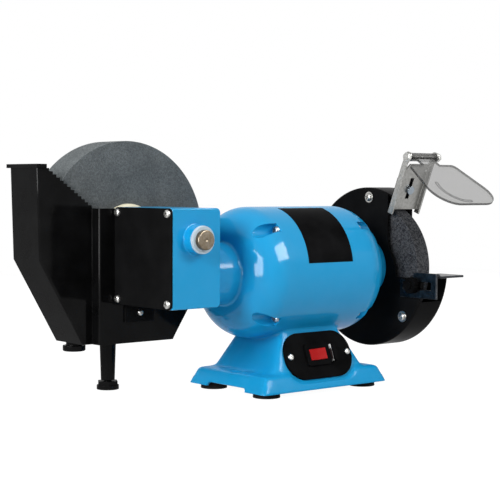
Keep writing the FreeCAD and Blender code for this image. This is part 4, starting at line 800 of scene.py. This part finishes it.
    def melt(self, voxel: float, passes: int,
             chosen: Callable[[bmesh.types.BMVert], bool]) -> "Shape":
        """Rebuilds the skin in small even faces and smooths a stretch of it, as in a casting.

        Args:
            voxel: Size of the faces.
            passes: Number of smoothing passes.
            chosen: Test for the vertices that are smoothed.

        Returns:
            This shape, changed.
        """
        self.worked("REMESH", mode="VOXEL", voxel_size=voxel)
        verts = [vert for vert in self.bm.verts if chosen(vert)]
        for _ in range(passes):
            bmesh.ops.smooth_vert(self.bm, verts=verts, factor=self.smooth_factor,
                                  use_axis_x=True, use_axis_y=True, use_axis_z=True)
        return self


@dataclass(frozen=True)
class Softening:
    """How the edges of a finished piece are rounded and shaded."""

    width: float = 0.0
    segments: int = 3
    angle: float = 32.0


CRISP = Softening()
FINE = Softening(0.0003, 2)
SHEET = Softening(0.0005, 3)
MOULDED = Softening(0.0012, 4)


def place(shape: Shape, name: str, finish: Finish, *nodes: str, body: str = "", slot: str = "",
          soft: Softening = CRISP) -> None:
    """Makes a finished piece of a shape.

    Args:
        shape: The piece's mesh under construction.
        name: Name of the piece.
        finish: The piece's finish.
        nodes: Nodes of the frame that the piece stands for.
        body: Body that the piece rides on, where it stands for no node.
        slot: Slot named for a piece that stands for no node; not used.
        soft: Rounding of its edges.
    """
    mesh = shape.mesh(name)
    shape.bm.free()
    mesh.shade_smooth()
    mesh.set_sharp_from_angle(angle=math.radians(soft.angle))
    mesh.materials.append(finish.material())
    piece = add_object(name, mesh)
    if soft.width:
        bevel = piece.modifiers.new("edges", "BEVEL")
        bevel.width = soft.width
        bevel.segments = soft.segments
        bevel.limit_method = "ANGLE"
        bevel.angle_limit = math.radians(soft.angle)
        bevel.harden_normals = True
    shading = piece.modifiers.new("shading", "WEIGHTED_NORMAL")
    shading.keep_sharp = True
    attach(piece, BODY_OF[nodes[0]] if nodes else body)
    if nodes:
        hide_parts(*nodes)
    LOG.info("%s: %d faces", name, len(mesh.polygons))


def place_copies(*rows: tuple[str, str, Finish, Softening]) -> None:
    """Makes finished pieces that keep the shapes of their nodes.

    Args:
        rows: For each piece the node, the piece's name, its finish and its rounding.
    """
    for node, name, finish, soft in rows:
        place(Shape.of_node(node), name, finish, node, soft=soft)


def ring_spots(centre: Vector, radius: float, angles: Sequence[float]) -> list[Vector]:
    """Returns spots round a centre in the plane of Y and Z, at angles from +Y towards +Z."""
    turns = [math.radians(angle) for angle in angles]
    return [centre + Vector((0, radius * math.cos(turn), radius * math.sin(turn)))
            for turn in turns]


@dataclass(frozen=True)
class PanScrew:
    """A pan-head screw with a cross recess, its head pointing along -Z before it is placed."""

    head_radius: float
    head_height: float
    washer: float = 0.0
    top_share: float = 0.92
    crown_share: float = 0.55
    arm_share: float = 0.62
    slot_share: float = 0.13
    depth_share: float = 0.5
    cutter_share: float = 1.5
    washer_share: float = 1.35
    first_turn: float = 0.4
    next_turn: float = 0.7

    def shape(self) -> Shape:
        """Makes the head, standing on its seat at the origin.

        Returns:
            The head, with its washer where it has one.
        """
        radius, height = self.head_radius, self.head_height
        head = Shape.turned([
            (0, 0), (0, radius), (-height, radius * self.top_share, height * self.crown_share),
            (-height, 0)], Vector(), Axis.Z, SCREW_FACETS, closed=False)
        arm, slot = radius * self.arm_share, radius * self.slot_share
        floor = height * self.depth_share - height
        for u, v in ((arm, slot), (slot, arm)):
            outline = [(-u, -v), (u, -v), (u, v), (-u, v)]
            head.cut(Shape.slab(outline, Axis.Z, -height * self.cutter_share, floor))
        if self.washer:
            head.move(Matrix.Translation((0, 0, -self.washer)))
            rim = radius * self.washer_share
            head.add(Shape.rod(Vector(), Axis.Z, -self.washer, rim, SCREW_FACETS))
        return head

    def group(self, spots: Sequence[Vector], outward: Vector) -> Shape:
        """Puts heads on spots, each turned a little differently.

        Args:
            spots: Where the heads sit.
            outward: Direction that the heads face.

        Returns:
            All the heads.
        """
        made = Shape()
        one = self.shape()
        aim = (-outward).to_track_quat("Z", "Y").to_matrix().to_4x4()
        for count, spot in enumerate(spots):
            turn = Matrix.Rotation(self.first_turn + self.next_turn * count, 4, "Z")
            made.add(one.copy().move(Matrix.Translation(spot) @ aim @ turn))
        return made


@dataclass(frozen=True)
class Stand:
    """Cast base with its feet, its switch and its cable gland."""

    screw: PanScrew = PanScrew(0.0036, 0.0022)
    screw_reach: float = 0.041
    saddle_reach: float = 0.06
    saddle_sink: float = 0.0005
    melt_voxel: float = 0.0014
    melt_passes: int = 24
    melt_from: float = 0.012
    casting_soft: Softening = Softening(angle=50)
    pivot_depth: float = 0.0005
    wedge_sides: tuple[float, float] = (0.0135, 0.0155)
    wedge_height: float = 0.005
    wedge_reach: float = 0.0095

    def build(self) -> None:
        """Makes the pieces of the base."""
        place(self.casting(), "pedestal_casting", BLUE_CASTING, "base_pedestal",
              soft=self.casting_soft)
        place_copies(
            ("rubber_feet", "bench_feet", RUBBER, SHEET),
            ("switch_plate", "switch_panel", SWITCH_BLACK, SHEET),
            ("switch_body", "switch_bezel", SWITCH_BLACK, FINE))
        self.switch_trim()
        place_copies(
            ("rocker", "red_rocker", RED_PLASTIC, FINE),
            ("cable_gland", "lead_gland", RUBBER, SHEET))

    def casting(self) -> Shape:
        """Makes the base, its upper edges flowing and its saddle cut to the motor.

        Returns:
            The base.
        """
        low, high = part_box("motor_shell")
        radius = (high.z - low.z) / 2
        reach = self.saddle_reach
        start = MOTOR_AXIS - Axis.X.along * reach
        base = Shape.of_node("base_pedestal")
        base.join(Shape.rod(start, Axis.X, reach * 2, radius - self.saddle_sink, BARREL_FACETS))
        base.melt(self.melt_voxel, self.melt_passes, lambda vert: vert.co.z > self.melt_from)
        start -= Axis.X.along * reach
        return base.cut(Shape.rod(start, Axis.X, reach * 4, radius, BARREL_FACETS))

    def switch_trim(self) -> None:
        """Makes the screws of the switch plate and the glossy wedge beside the rocker."""
        pivot = Vector(joint("rocker_tip")["pos_m"])
        slope = Vector(joint("rocker_tip")["axis"])
        outward = Axis.X.along.cross(slope)
        seat = pivot + outward * self.pivot_depth
        spots = [Vector((side * self.screw_reach, seat.y, seat.z)) for side in (-1, 1)]
        place(self.screw.group(spots, outward), "plate_screws", ZINC, "switch_plate_screws")
        left, right = self.wedge_sides
        outline = [(left, 0), (right, 0), (right, -self.wedge_height)]
        turn = Matrix((Axis.X.along, -outward, slope)).transposed().to_4x4()
        wedge = Shape.slab(outline, Axis.Z, -self.wedge_reach, self.wedge_reach)
        wedge.move(Matrix.Translation(Vector((0, seat.y, seat.z))) @ turn)
        place(wedge, "switch_wedge", GLOSS_BLACK, body="stand", slot="black_plastic", soft=FINE)


@dataclass(frozen=True)
class Motor:
    """Motor barrel between two end bells."""

    inner_share: float = 0.9
    dome: float = 0.034
    straight: float = 0.010
    neck_radius: float = 0.033
    neck_fillet: float = 0.004
    boss_groove: float = 0.0025
    groove_depth: float = 0.003
    boss_edge: float = 0.001
    tie_circle: float = 0.065
    pocket_radius: float = 0.0075
    pocket_floor: float = 0.008
    pocket_edge: float = 0.0012
    pocket_segments: int = 3
    screw: PanScrew = PanScrew(0.0045, 0.0035)
    label_sides: tuple[float, float] = (-0.0303, 0.0335)
    label_lean: float = 0.003
    label_steps: int = 40
    label_from: float = 13.0
    label_to: float = 80.3
    label_thickness: float = 0.0002

    def build(self) -> None:
        """Makes the barrel, the bells, the tie screws and the bare label sheet."""
        low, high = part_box("motor_shell")
        half, radius = (high.x - low.x) / 2, (high.z - low.z) / 2
        inner = radius * self.inner_share
        profile = [(-half, inner), (half, inner), (half, radius), (-half, radius)]
        barrel = Shape.turned(profile, MOTOR_AXIS, Axis.X, BARREL_FACETS)
        place(barrel, "motor_barrel", BLUE_ENAMEL, "motor_shell")
        self.bells(half, radius)
        self.label(radius)

    def bells(self, half: float, radius: float) -> None:
        """Makes the end bells, with the tie screws in their pockets.

        Args:
            half: Half the length of the barrel.
            radius: Outer radius of the barrel.
        """
        end = half + self.straight + self.dome
        neck_end = -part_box("left_end_bell")[0].x
        boss_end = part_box("right_end_bell")[1].x
        left = Shape.turned([
            (-half, 0), (-half, radius), (-end, radius, self.dome),
            (-end, self.neck_radius, self.neck_fillet), (-neck_end, self.neck_radius),
            (-neck_end, 0)], MOTOR_AXIS, Axis.X, BARREL_FACETS, closed=False)
        groove_end = end + self.boss_groove
        core = self.neck_radius - self.groove_depth
        right = Shape.turned([
            (half, 0), (half, radius), (end, radius, self.dome), (end, core), (groove_end, core),
            (groove_end, self.neck_radius, self.boss_edge), (boss_end, self.neck_radius),
            (boss_end, 0)], MOTOR_AXIS, Axis.X, BARREL_FACETS, closed=False)
        depth, reach = half + self.pocket_floor, self.dome * 2
        floor = Axis.X.along * depth
        spots = ring_spots(MOTOR_AXIS, self.tie_circle, QUARTERS)
        for spot in spots:
            right.cut(Shape.rod(spot + floor, Axis.X, reach, self.pocket_radius))
            start = spot - Axis.X.along * (depth + reach)
            left.cut(Shape.rod(start, Axis.X, reach, self.pocket_radius))

        def on_dome(edge: bmesh.types.BMEdge) -> bool:
            """Tells whether an edge lies clear of the barrel."""
            return all(abs(vert.co.x) > half + MERGE for vert in edge.verts)

        for bell, name, node in (
                (left, "left_bell", "left_end_bell"), (right, "right_bell", "right_end_bell")):
            bell.soften(self.pocket_edge, self.pocket_segments, on_dome)
            place(bell, name, BLUE_ENAMEL, node)
        screws = self.screw.group([spot - floor for spot in spots], -Axis.X.along)
        screws.add(self.screw.group([spot + floor for spot in spots], Axis.X.along))
        place(screws, "tie_screws", ZINC_PAINTED_BLUE_REFLECTION, "end_bell_screws")

    def label(self, radius: float) -> None:
        """Makes the bare label sheet on the front of the barrel.

        Args:
            radius: Outer radius of the barrel.
        """
        sheet = Shape()
        start = math.radians(self.label_from)
        sweep = math.radians(self.label_to - self.label_from)
        rim = radius + self.label_thickness
        arm = MOTOR_AXIS + Vector((0, -math.sin(start) * rim, math.cos(start) * rim))
        verts = [sheet.bm.verts.new(arm + Axis.X.along * side) for side in self.label_sides]
        edge = sheet.bm.edges.new(verts)
        lean = Axis.X.along * -self.label_lean / self.label_steps
        bmesh.ops.spin(sheet.bm, geom=[*verts, edge], cent=MOTOR_AXIS, axis=Axis.X.along,
                       dvec=lean, angle=sweep, steps=self.label_steps)
        bmesh.ops.recalc_face_normals(sheet.bm, faces=sheet.bm.faces)
        outer = sum(face.normal.dot(face.calc_center_median() - MOTOR_AXIS)
                    for face in sheet.bm.faces)
        if outer < 0:
            bmesh.ops.reverse_faces(sheet.bm, faces=sheet.bm.faces)
        bmesh.ops.solidify(
            sheet.bm, geom=list(sheet.bm.faces), thickness=self.label_thickness)
        place(sheet, "bare_label", LABEL_FOIL, body="stand", slot="black_plastic")


@dataclass(frozen=True)
class Gearbox:
    """Gearbox with its cover, its boss, its front bush and the wet shaft."""

    corner: float = 0.005
    case_soft: Softening = Softening(0.001, 3, 35)
    cover_soft: Softening = Softening(0.0008, 3)
    boss_radius: float = 0.0145
    boss_edge: float = 0.001
    boss_fillet: float = 0.0016
    boss_sink: float = 0.00005
    skirt_margin: float = 0.001
    skirt_depth: float = 0.002
    tail_radius: float = 0.016
    tail_sink: float = 0.002
    screw_inset: float = 0.0055
    screw: PanScrew = PanScrew(0.0043, 0.0028)
    bush_flange: float = 0.0025
    bush_bore: float = 0.01005
    bush_edge: float = 0.0008
    bush_front_inset: float = 0.0005
    bush_back_inset: float = 0.0003
    shaft_radius: float = 0.01
    shaft_chamfer: float = 0.0012
    centre_depth: float = 0.0012
    centre_radius: float = 0.0016
    thread_length: float = 0.0125
    thread_radius: float = 0.008
    thread_edge: float = 0.0008

    def build(self) -> None:
        """Makes the pieces of the gearbox."""
        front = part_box("front_bush")[0].y
        boss_front = front + self.bush_flange
        place(self.case(boss_front), "gear_case", BLUE_ENAMEL, "gearbox_housing",
              soft=self.case_soft)
        place_copies(("gearbox_cover", "gear_cover", BLACK_PAINT, self.cover_soft))
        low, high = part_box("gearbox_cover")
        rows = (low.z + self.screw_inset, high.z - self.screw_inset)
        columns = (low.y + self.screw_inset, high.y - self.screw_inset)
        spots = [Vector((low.x, y, z)) for y in columns for z in rows]
        place(self.screw.group(spots, -Axis.X.along), "cover_screws", ZINC, "gearbox_cover_screws")
        bush = Shape.turned([
            (front, self.bush_bore),
            (front, self.boss_radius - self.bush_front_inset, self.bush_edge),
            (boss_front, self.boss_radius - self.bush_back_inset),
            (boss_front, self.bush_bore)], WET_AXIS, Axis.Y, SHAFT_FACETS)
        place(bush, "white_bush", NYLON, "front_bush")
        place(self.shaft(), "slow_shaft", SHAFT_STEEL, "wet_shaft")

    def case(self, boss_front: float) -> Shape:
        """Makes the housing with the boss in front and the round tail behind.

        Args:
            boss_front: Place of the boss's front along Y.

        Returns:
            The housing as one skin.
        """
        low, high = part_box("gearbox_housing")
        front, back = (corner.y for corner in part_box("gearbox_cover"))
        case = Shape.slab([
            (low.x, low.z), (high.x, low.z, self.corner), (high.x, high.z, self.corner),
            (low.x, high.z)], Axis.Y, front, back)
        foot = front + self.boss_sink
        skirt = self.boss_radius + self.boss_fillet + self.skirt_margin
        boss = Shape.turned([
            (boss_front, 0), (boss_front, self.boss_radius, self.boss_edge),
            (foot, self.boss_radius, self.boss_fillet), (foot, skirt),
            (foot + self.skirt_depth, skirt), (foot + self.skirt_depth, 0)],
            WET_AXIS, Axis.Y, closed=False)
        start = WET_AXIS + Axis.Y.along * (back - self.tail_sink)
        tail = Shape.rod(start, Axis.Y, high.y - back + self.tail_sink, self.tail_radius,
                         SHAFT_FACETS)
        return case.join(boss).join(tail)

    def shaft(self) -> Shape:
        """Makes the wet shaft, with a centre hole in front and a thinner thread behind.

        Returns:
            The shaft.
        """
        low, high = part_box("wet_shaft")
        step = high.y - self.thread_length
        return Shape.turned([
            (low.y + self.centre_depth, 0), (low.y, self.centre_radius),
            (low.y, self.shaft_radius, self.shaft_chamfer), (step, self.shaft_radius),
            (step, self.thread_radius), (high.y, self.thread_radius, self.thread_edge),
            (high.y, 0)], WET_AXIS, Axis.Y, SHAFT_FACETS, closed=False)


@dataclass(frozen=True)
class WetSide:
    """Wet wheel with its flanges, and the trough with its leg and plug."""

    bore: float = 0.01005
    wheel_edge: float = 0.0007
    flange_edge: float = 0.003
    flange_width: float = 0.006
    hub_radius: float = 0.018
    hub_edge: float = 0.001
    trough_edge: float = 0.0022
    trough_segments: int = 4
    long_edge: float = 0.04
    left_end: float = -0.22
    screw: PanScrew = PanScrew(0.0034, 0.003)

    def build(self) -> None:
        """Makes the pieces of the wet side."""
        wheel = Shape.disc("wet_wheel", WET_AXIS, Axis.Y, self.bore, self.wheel_edge, WHEEL_FACETS)
        place(wheel, "wet_stone", WET_STONE, "wet_wheel")
        self.flanges()
        place_copies(("wet_wheel_nut", "wheel_nut", ZINC, SHEET))
        trough = Shape.of_node("water_trough")
        trough.soften(self.trough_edge, self.trough_segments, self.outer, clamp=False)
        place(trough, "trough_shell", BLACK_PLASTIC, "water_trough", soft=FINE)
        place_copies(
            ("trough_leg", "trough_post", BLACK_PLASTIC, SHEET),
            ("leg_foot", "post_foot", BLACK_PLASTIC, SHEET),
            ("drain_plug", "drain_bung", BLACK_PLASTIC, SHEET),
            ("trough_bracket", "hanger", BLACK_PAINT, SHEET))
        low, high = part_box("trough_screws")
        middle = (low + high) / 2
        spot = Vector((middle.x, low.y + self.screw.head_height, middle.z))
        place(self.screw.group([spot], -Axis.Y.along), "hanger_screw", ZINC, "trough_screws")

    def flanges(self) -> None:
        """Makes the front flange with its hub and the flat rear flange."""
        low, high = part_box("wet_inner_flange")
        rim, edge = (high.z - low.z) / 2, high.y - self.flange_width
        front = [(high.y, self.bore), (high.y, rim), (edge, rim, self.flange_edge),
                 (edge, self.hub_radius, self.hub_edge), (low.y, self.hub_radius),
                 (low.y, self.bore)]
        low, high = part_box("wet_outer_flange")
        rim = (high.z - low.z) / 2
        rear = [(low.y, self.bore), (low.y, rim), (high.y, rim, self.flange_edge),
                (high.y, self.bore)]
        for profile, name, node in (
                (front, "front_flange", "wet_inner_flange"),
                (rear, "rear_flange", "wet_outer_flange")):
            place(Shape.turned(profile, WET_AXIS, Axis.Y), name, CREAM, node)

    def outer(self, edge: bmesh.types.BMEdge) -> bool:
        """Tells whether an edge of the trough climbs its left end or its front bulge.

        Args:
            edge: Edge of the trough's mesh.

        Returns:
            True for a long convex edge there.
        """
        first, second = (vert.co for vert in edge.verts)
        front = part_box("water_trough")[0].y + MERGE
        at_side = max(first.x, second.x) < self.left_end or max(first.y, second.y) < front
        return edge.is_convex and at_side and abs(first.z - second.z) > self.long_edge


@dataclass(frozen=True)
class DrySide:
    """Dry wheel with its guard, tool rest, spark arrester and eye shield."""

    bore: float = 0.0064
    wheel_edge: float = 0.001
    washer_edge: float = 0.001
    guard_screw: PanScrew = PanScrew(0.0046, 0.003, 0.0008)
    guard_circle: float = 0.08
    guard_angles: Triple = (94, 222, 340)
    face_cosine: float = 0.5
    edge_thickness: float = 0.0002
    edge_gap: float = 0.00004
    bead_spot: tuple[float, float] = (0.1335, -0.0203)
    bead_arc: float = 0.0233
    bead_half: float = 0.0016
    bead_wire: float = 0.0004
    bead_from: float = 82.0
    bead_to: float = 209.0
    bead_facets: int = 8
    bead_steps: int = 36
    bead_end_steps: int = 8

    def build(self) -> None:
        """Makes the pieces of the dry side."""
        for node, name, finish, edge, steps in (
                ("dry_wheel", "dry_stone", DRY_STONE, self.wheel_edge, BARREL_FACETS),
                ("dry_inner_flange", "inner_washer", ZINC, self.washer_edge, WASHER_FACETS),
                ("dry_outer_flange", "outer_washer", ZINC, self.washer_edge, WASHER_FACETS)):
            disc = Shape.disc(node, MOTOR_AXIS, Axis.X, self.bore, edge, steps)
            place(disc, name, finish, node)
        place_copies(
            ("dry_wheel_nut", "dry_nut", ZINC, SHEET),
            ("guard_inner", "guard_pan", BLACK_PAINT, SHEET),
            ("guard_outer", "guard_lid", LID_BLACK, SHEET))
        centre = Vector((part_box("guard_inner")[0].x, 0, MOTOR_AXIS.z))
        spots = ring_spots(centre, self.guard_circle, self.guard_angles)
        place(self.guard_screw.group(spots, -Axis.X.along), "guard_bolts", ZINC, "guard_screws")
        place_copies(
            ("tool_rest", "rest_plate", DARK_ZINC, SHEET),
            ("tool_rest_knob", "rest_knob", SWITCH_BLACK, MOULDED),
            ("tool_rest_bolt", "rest_stud", SWITCH_BLACK, FINE),
            ("spark_arrester", "arrester_channel", GALVANISED, SHEET),
            ("arrester_bolt", "arrester_stud", ZINC_PAINTED_BLUE_REFLECTION, FINE),
            ("shield_pivot_bolt", "cross_bolt", ZINC, FINE),
            ("eye_shield", "clear_shield", CLEAR, FINE))
        faces = frame["nodes"]["eye_shield"].data.polygons
        top = max(faces, key=lambda face: face.area * (face.normal.z > 0))
        self.shield_edge(top.normal)
        self.bead(top.normal, top.normal.dot(top.center))

    def shield_edge(self, up: Vector) -> None:
        """Makes the dark cut edge round the eye shield.

        Args:
            up: Direction in which the shield's top face points.
        """
        band = Shape.of_node("eye_shield")
        flat = [face for face in band.bm.faces if abs(face.normal.dot(up)) > self.face_cosine]
        bmesh.ops.delete(band.bm, geom=flat, context="FACES")
        band.bm.normal_update()
        for vert in band.bm.verts:
            vert.co += vert.normal * self.edge_gap
        bmesh.ops.solidify(band.bm, geom=list(band.bm.faces), thickness=-self.edge_thickness)
        place(band, "shield_edge", CLEAR_RIDGE, body="shield", slot="clear_sheet")

    def bead(self, up: Vector, height: float) -> None:
        """Makes the curved bead of the eye shield, as a thin closed ridge on its top face.

        Args:
            up: Direction in which the top face points.
            height: Distance of the top face from the origin along that direction.
        """
        down = Axis.X.along.cross(up)
        turn = Matrix((Axis.X.along, down, up)).transposed().to_4x4()
        first, last = math.radians(self.bead_from), math.radians(self.bead_to)
        sweep = math.radians(self.bead_to - self.bead_from)
        centre = Vector((*self.bead_spot, 0))
        ends = [Matrix.Rotation(angle, 3, "Z") @ Vector((self.bead_arc, 0, 0)) + centre
                for angle in (first, last)]
        ridge = Shape()
        start = ends[0] + (ends[0] - centre).normalized() * self.bead_half
        facing = Matrix.Translation(start) @ Matrix.Rotation(first, 4, "Z")
        ring = bmesh.ops.create_circle(
            ridge.bm, segments=self.bead_facets, radius=self.bead_wire,
            matrix=facing @ Matrix.Rotation(RIGHT_ANGLE, 4, "X"))["verts"]
        geometry = list(dict.fromkeys(edge for vert in ring for edge in vert.link_edges)) + ring
        for hub, angle, steps in (
                (centre, sweep, self.bead_steps), (ends[1], math.pi, self.bead_end_steps),
                (centre, -sweep, self.bead_steps), (ends[0], math.pi, self.bead_end_steps)):
            geometry = bmesh.ops.spin(ridge.bm, geom=geometry, cent=hub, axis=Axis.Z.along,
                                      angle=angle, steps=steps)["geom_last"]
        bmesh.ops.remove_doubles(ridge.bm, verts=ridge.bm.verts, dist=NEAR)
        bmesh.ops.recalc_face_normals(ridge.bm, faces=ridge.bm.faces)
        ridge.move(Matrix.Translation(up * height) @ turn)
        place(ridge, "shield_bead", CLEAR_RIDGE, body="shield", slot="clear_sheet")


class LampUse(Enum):
    """What a lamp is there for."""

    SOFT = "lights surfaces"
    CARD = "shows in glossy surfaces"


@dataclass(frozen=True)
class Lamp:
    """A rectangular lamp at a spot, aimed at a point, with its power in watts."""

    name: str
    use: LampUse
    spot: Triple
    aim: Triple
    width: float
    height: float
    power: float

    def build(self) -> None:
        """Adds the lamp to the scene."""
        data = bpy.data.lights.new(self.name, "AREA")
        data.shape = "RECTANGLE"
        data.size = self.width
        data.size_y = self.height
        data.energy = self.power
        lamp = add_object(self.name, data)
        lamp.location = self.spot
        beam = Vector(self.aim) - Vector(self.spot)
        lamp.rotation_euler = beam.to_track_quat("-Z", "Y").to_euler()
        lamp.visible_camera = False
        lamp.visible_glossy = self.use is LampUse.CARD
        lamp.visible_diffuse = self.use is LampUse.SOFT


LEFT_AIM = (-0.08, -0.045, 0.145)
FRONT_AIM = (-0.068, -0.064, 0.152)
LAMPS = (
    Lamp("left_card", LampUse.CARD, (-1.55, -0.18, 0.40), LEFT_AIM, 1.35, 0.75, 54),
    Lamp("front_card", LampUse.CARD, (0.36, -1.25, 0.97), FRONT_AIM, 1.2, 0.7, 53),
    Lamp("left_soft", LampUse.SOFT, (-1.64, -0.42, 0.82), LEFT_AIM, 0.7, 0.7, 25),
    Lamp("front_soft", LampUse.SOFT, (0.40, -1.37, 1.05), FRONT_AIM, 0.8, 0.6, 14),
    Lamp("rear_soft", LampUse.SOFT, (0.75, 1.35, 0.75), (0, 0, 0.12), 1.2, 0.8, 16),
    Lamp("ceiling", LampUse.SOFT, (0.0, 0.1, 1.9), (0, 0, 0.1), 1.4, 1.4, 4),
)


@dataclass(frozen=True)
class Studio:
    """Pale floor, soft light and the camera of the picture."""

    camera_spot: Triple = (-0.9825, -1.1032, 0.2214)
    yaw: float = 40.03
    pitch: float = -2.77
    roll: float = 0.23
    lens: float = 97.07
    sensor: float = 36.0
    world_light: float = 0.18
    floor_half: float = 1.8
    floor_tone: float = 0.6
    floor_roughness: float = 0.9
    floor_glow: float = 1.2
    glow_share: float = 0.8

    def build(self) -> None:
        """Makes the floor, the world, the lamps and the camera."""
        bpy.context.scene.view_settings.view_transform = "Standard"
        self.floor()
        self.world()
        for lamp in LAMPS:
            lamp.build()
        self.camera()

    @staticmethod
    def seen_rays(nodes: Nodes) -> Socket:
        """Returns 1 for rays that show the background: camera, glossy and transmission rays.

        Args:
            nodes: Nodes of the floor or the world.

        Returns:
            The socket with that value.
        """
        path = nodes.add("LightPath", {}).outputs
        first = nodes.calculate("MAXIMUM", path["Is Camera Ray"], path["Is Glossy Ray"])
        return nodes.calculate("MAXIMUM", first, path["Is Transmission Ray"])

    def floor(self) -> None:
        """Makes the pale floor, which keeps a faint shadow."""
        shape = Shape()
        bmesh.ops.create_grid(shape.bm, x_segments=1, y_segments=1, size=self.floor_half)
        mesh = shape.mesh("floor")
        paper = Surface("pale_paper")
        tone = self.floor_tone
        paper.fill(paper.shader, {
            "Base Color": (tone, tone, tone, 1), "Roughness": self.floor_roughness,
            "Specular IOR Level": 0.0})
        glow = paper.add("Emission", {"Strength": self.floor_glow})
        share = paper.calculate("MULTIPLY", self.seen_rays(paper), self.glow_share)
        mix = paper.add("MixShader", {
            "Fac": share, 1: paper.shader.outputs["BSDF"], 2: glow.outputs["Emission"]})
        paper.fill(paper.tree.nodes["Material Output"], {"Surface": mix.outputs["Shader"]})
        mesh.materials.append(paper.material)
        add_object("floor", mesh)

    def world(self) -> None:
        """Makes a white world that lights the object at a plain level."""
        world = bpy.data.worlds.new("studio")
        bpy.context.scene.world = world
        world.use_nodes = True
        nodes = Nodes(world.node_tree)
        level = nodes.add("MapRange", {
            "Value": self.seen_rays(nodes), "To Min": self.world_light, "To Max": 1.0})
        nodes.fill(nodes.tree.nodes["Background"], {
            "Color": (1, 1, 1, 1), "Strength": level.outputs["Result"]})

    def camera(self) -> None:
        """Adds the camera of the picture."""
        data = bpy.data.cameras.new("camera")
        data.lens = self.lens
        data.sensor_width = self.sensor
        yaw, pitch = math.radians(self.yaw), math.radians(self.pitch)
        flat = math.cos(pitch)
        look = Vector((math.sin(yaw) * flat, math.cos(yaw) * flat, math.sin(pitch)))
        roll = Matrix.Rotation(math.radians(self.roll), 3, "Z")
        turn = look.to_track_quat("-Z", "Y").to_matrix() @ roll
        camera = add_object("camera", data)
        camera.matrix_world = Matrix.Translation(self.camera_spot) @ turn.to_4x4()
        bpy.context.scene.camera = camera


def dress_nodes() -> None:
    """Gives every node of the frame the finish of its slot."""
    for name, node in frame["nodes"].items():
        node.data.materials.clear()
        node.data.materials.append(FINISH_OF_SLOT[SLOT_OF[name]].material())


def main() -> None:
    """Builds the studio and the sub-assemblies of the grinder."""
    logging.basicConfig(level=logging.INFO, format="%(message)s")
    dress_nodes()
    for part in (Studio(), Stand(), Motor(), Gearbox(), WetSide(), DrySide()):
        part.build()


if __name__ == "__main__":
    main()
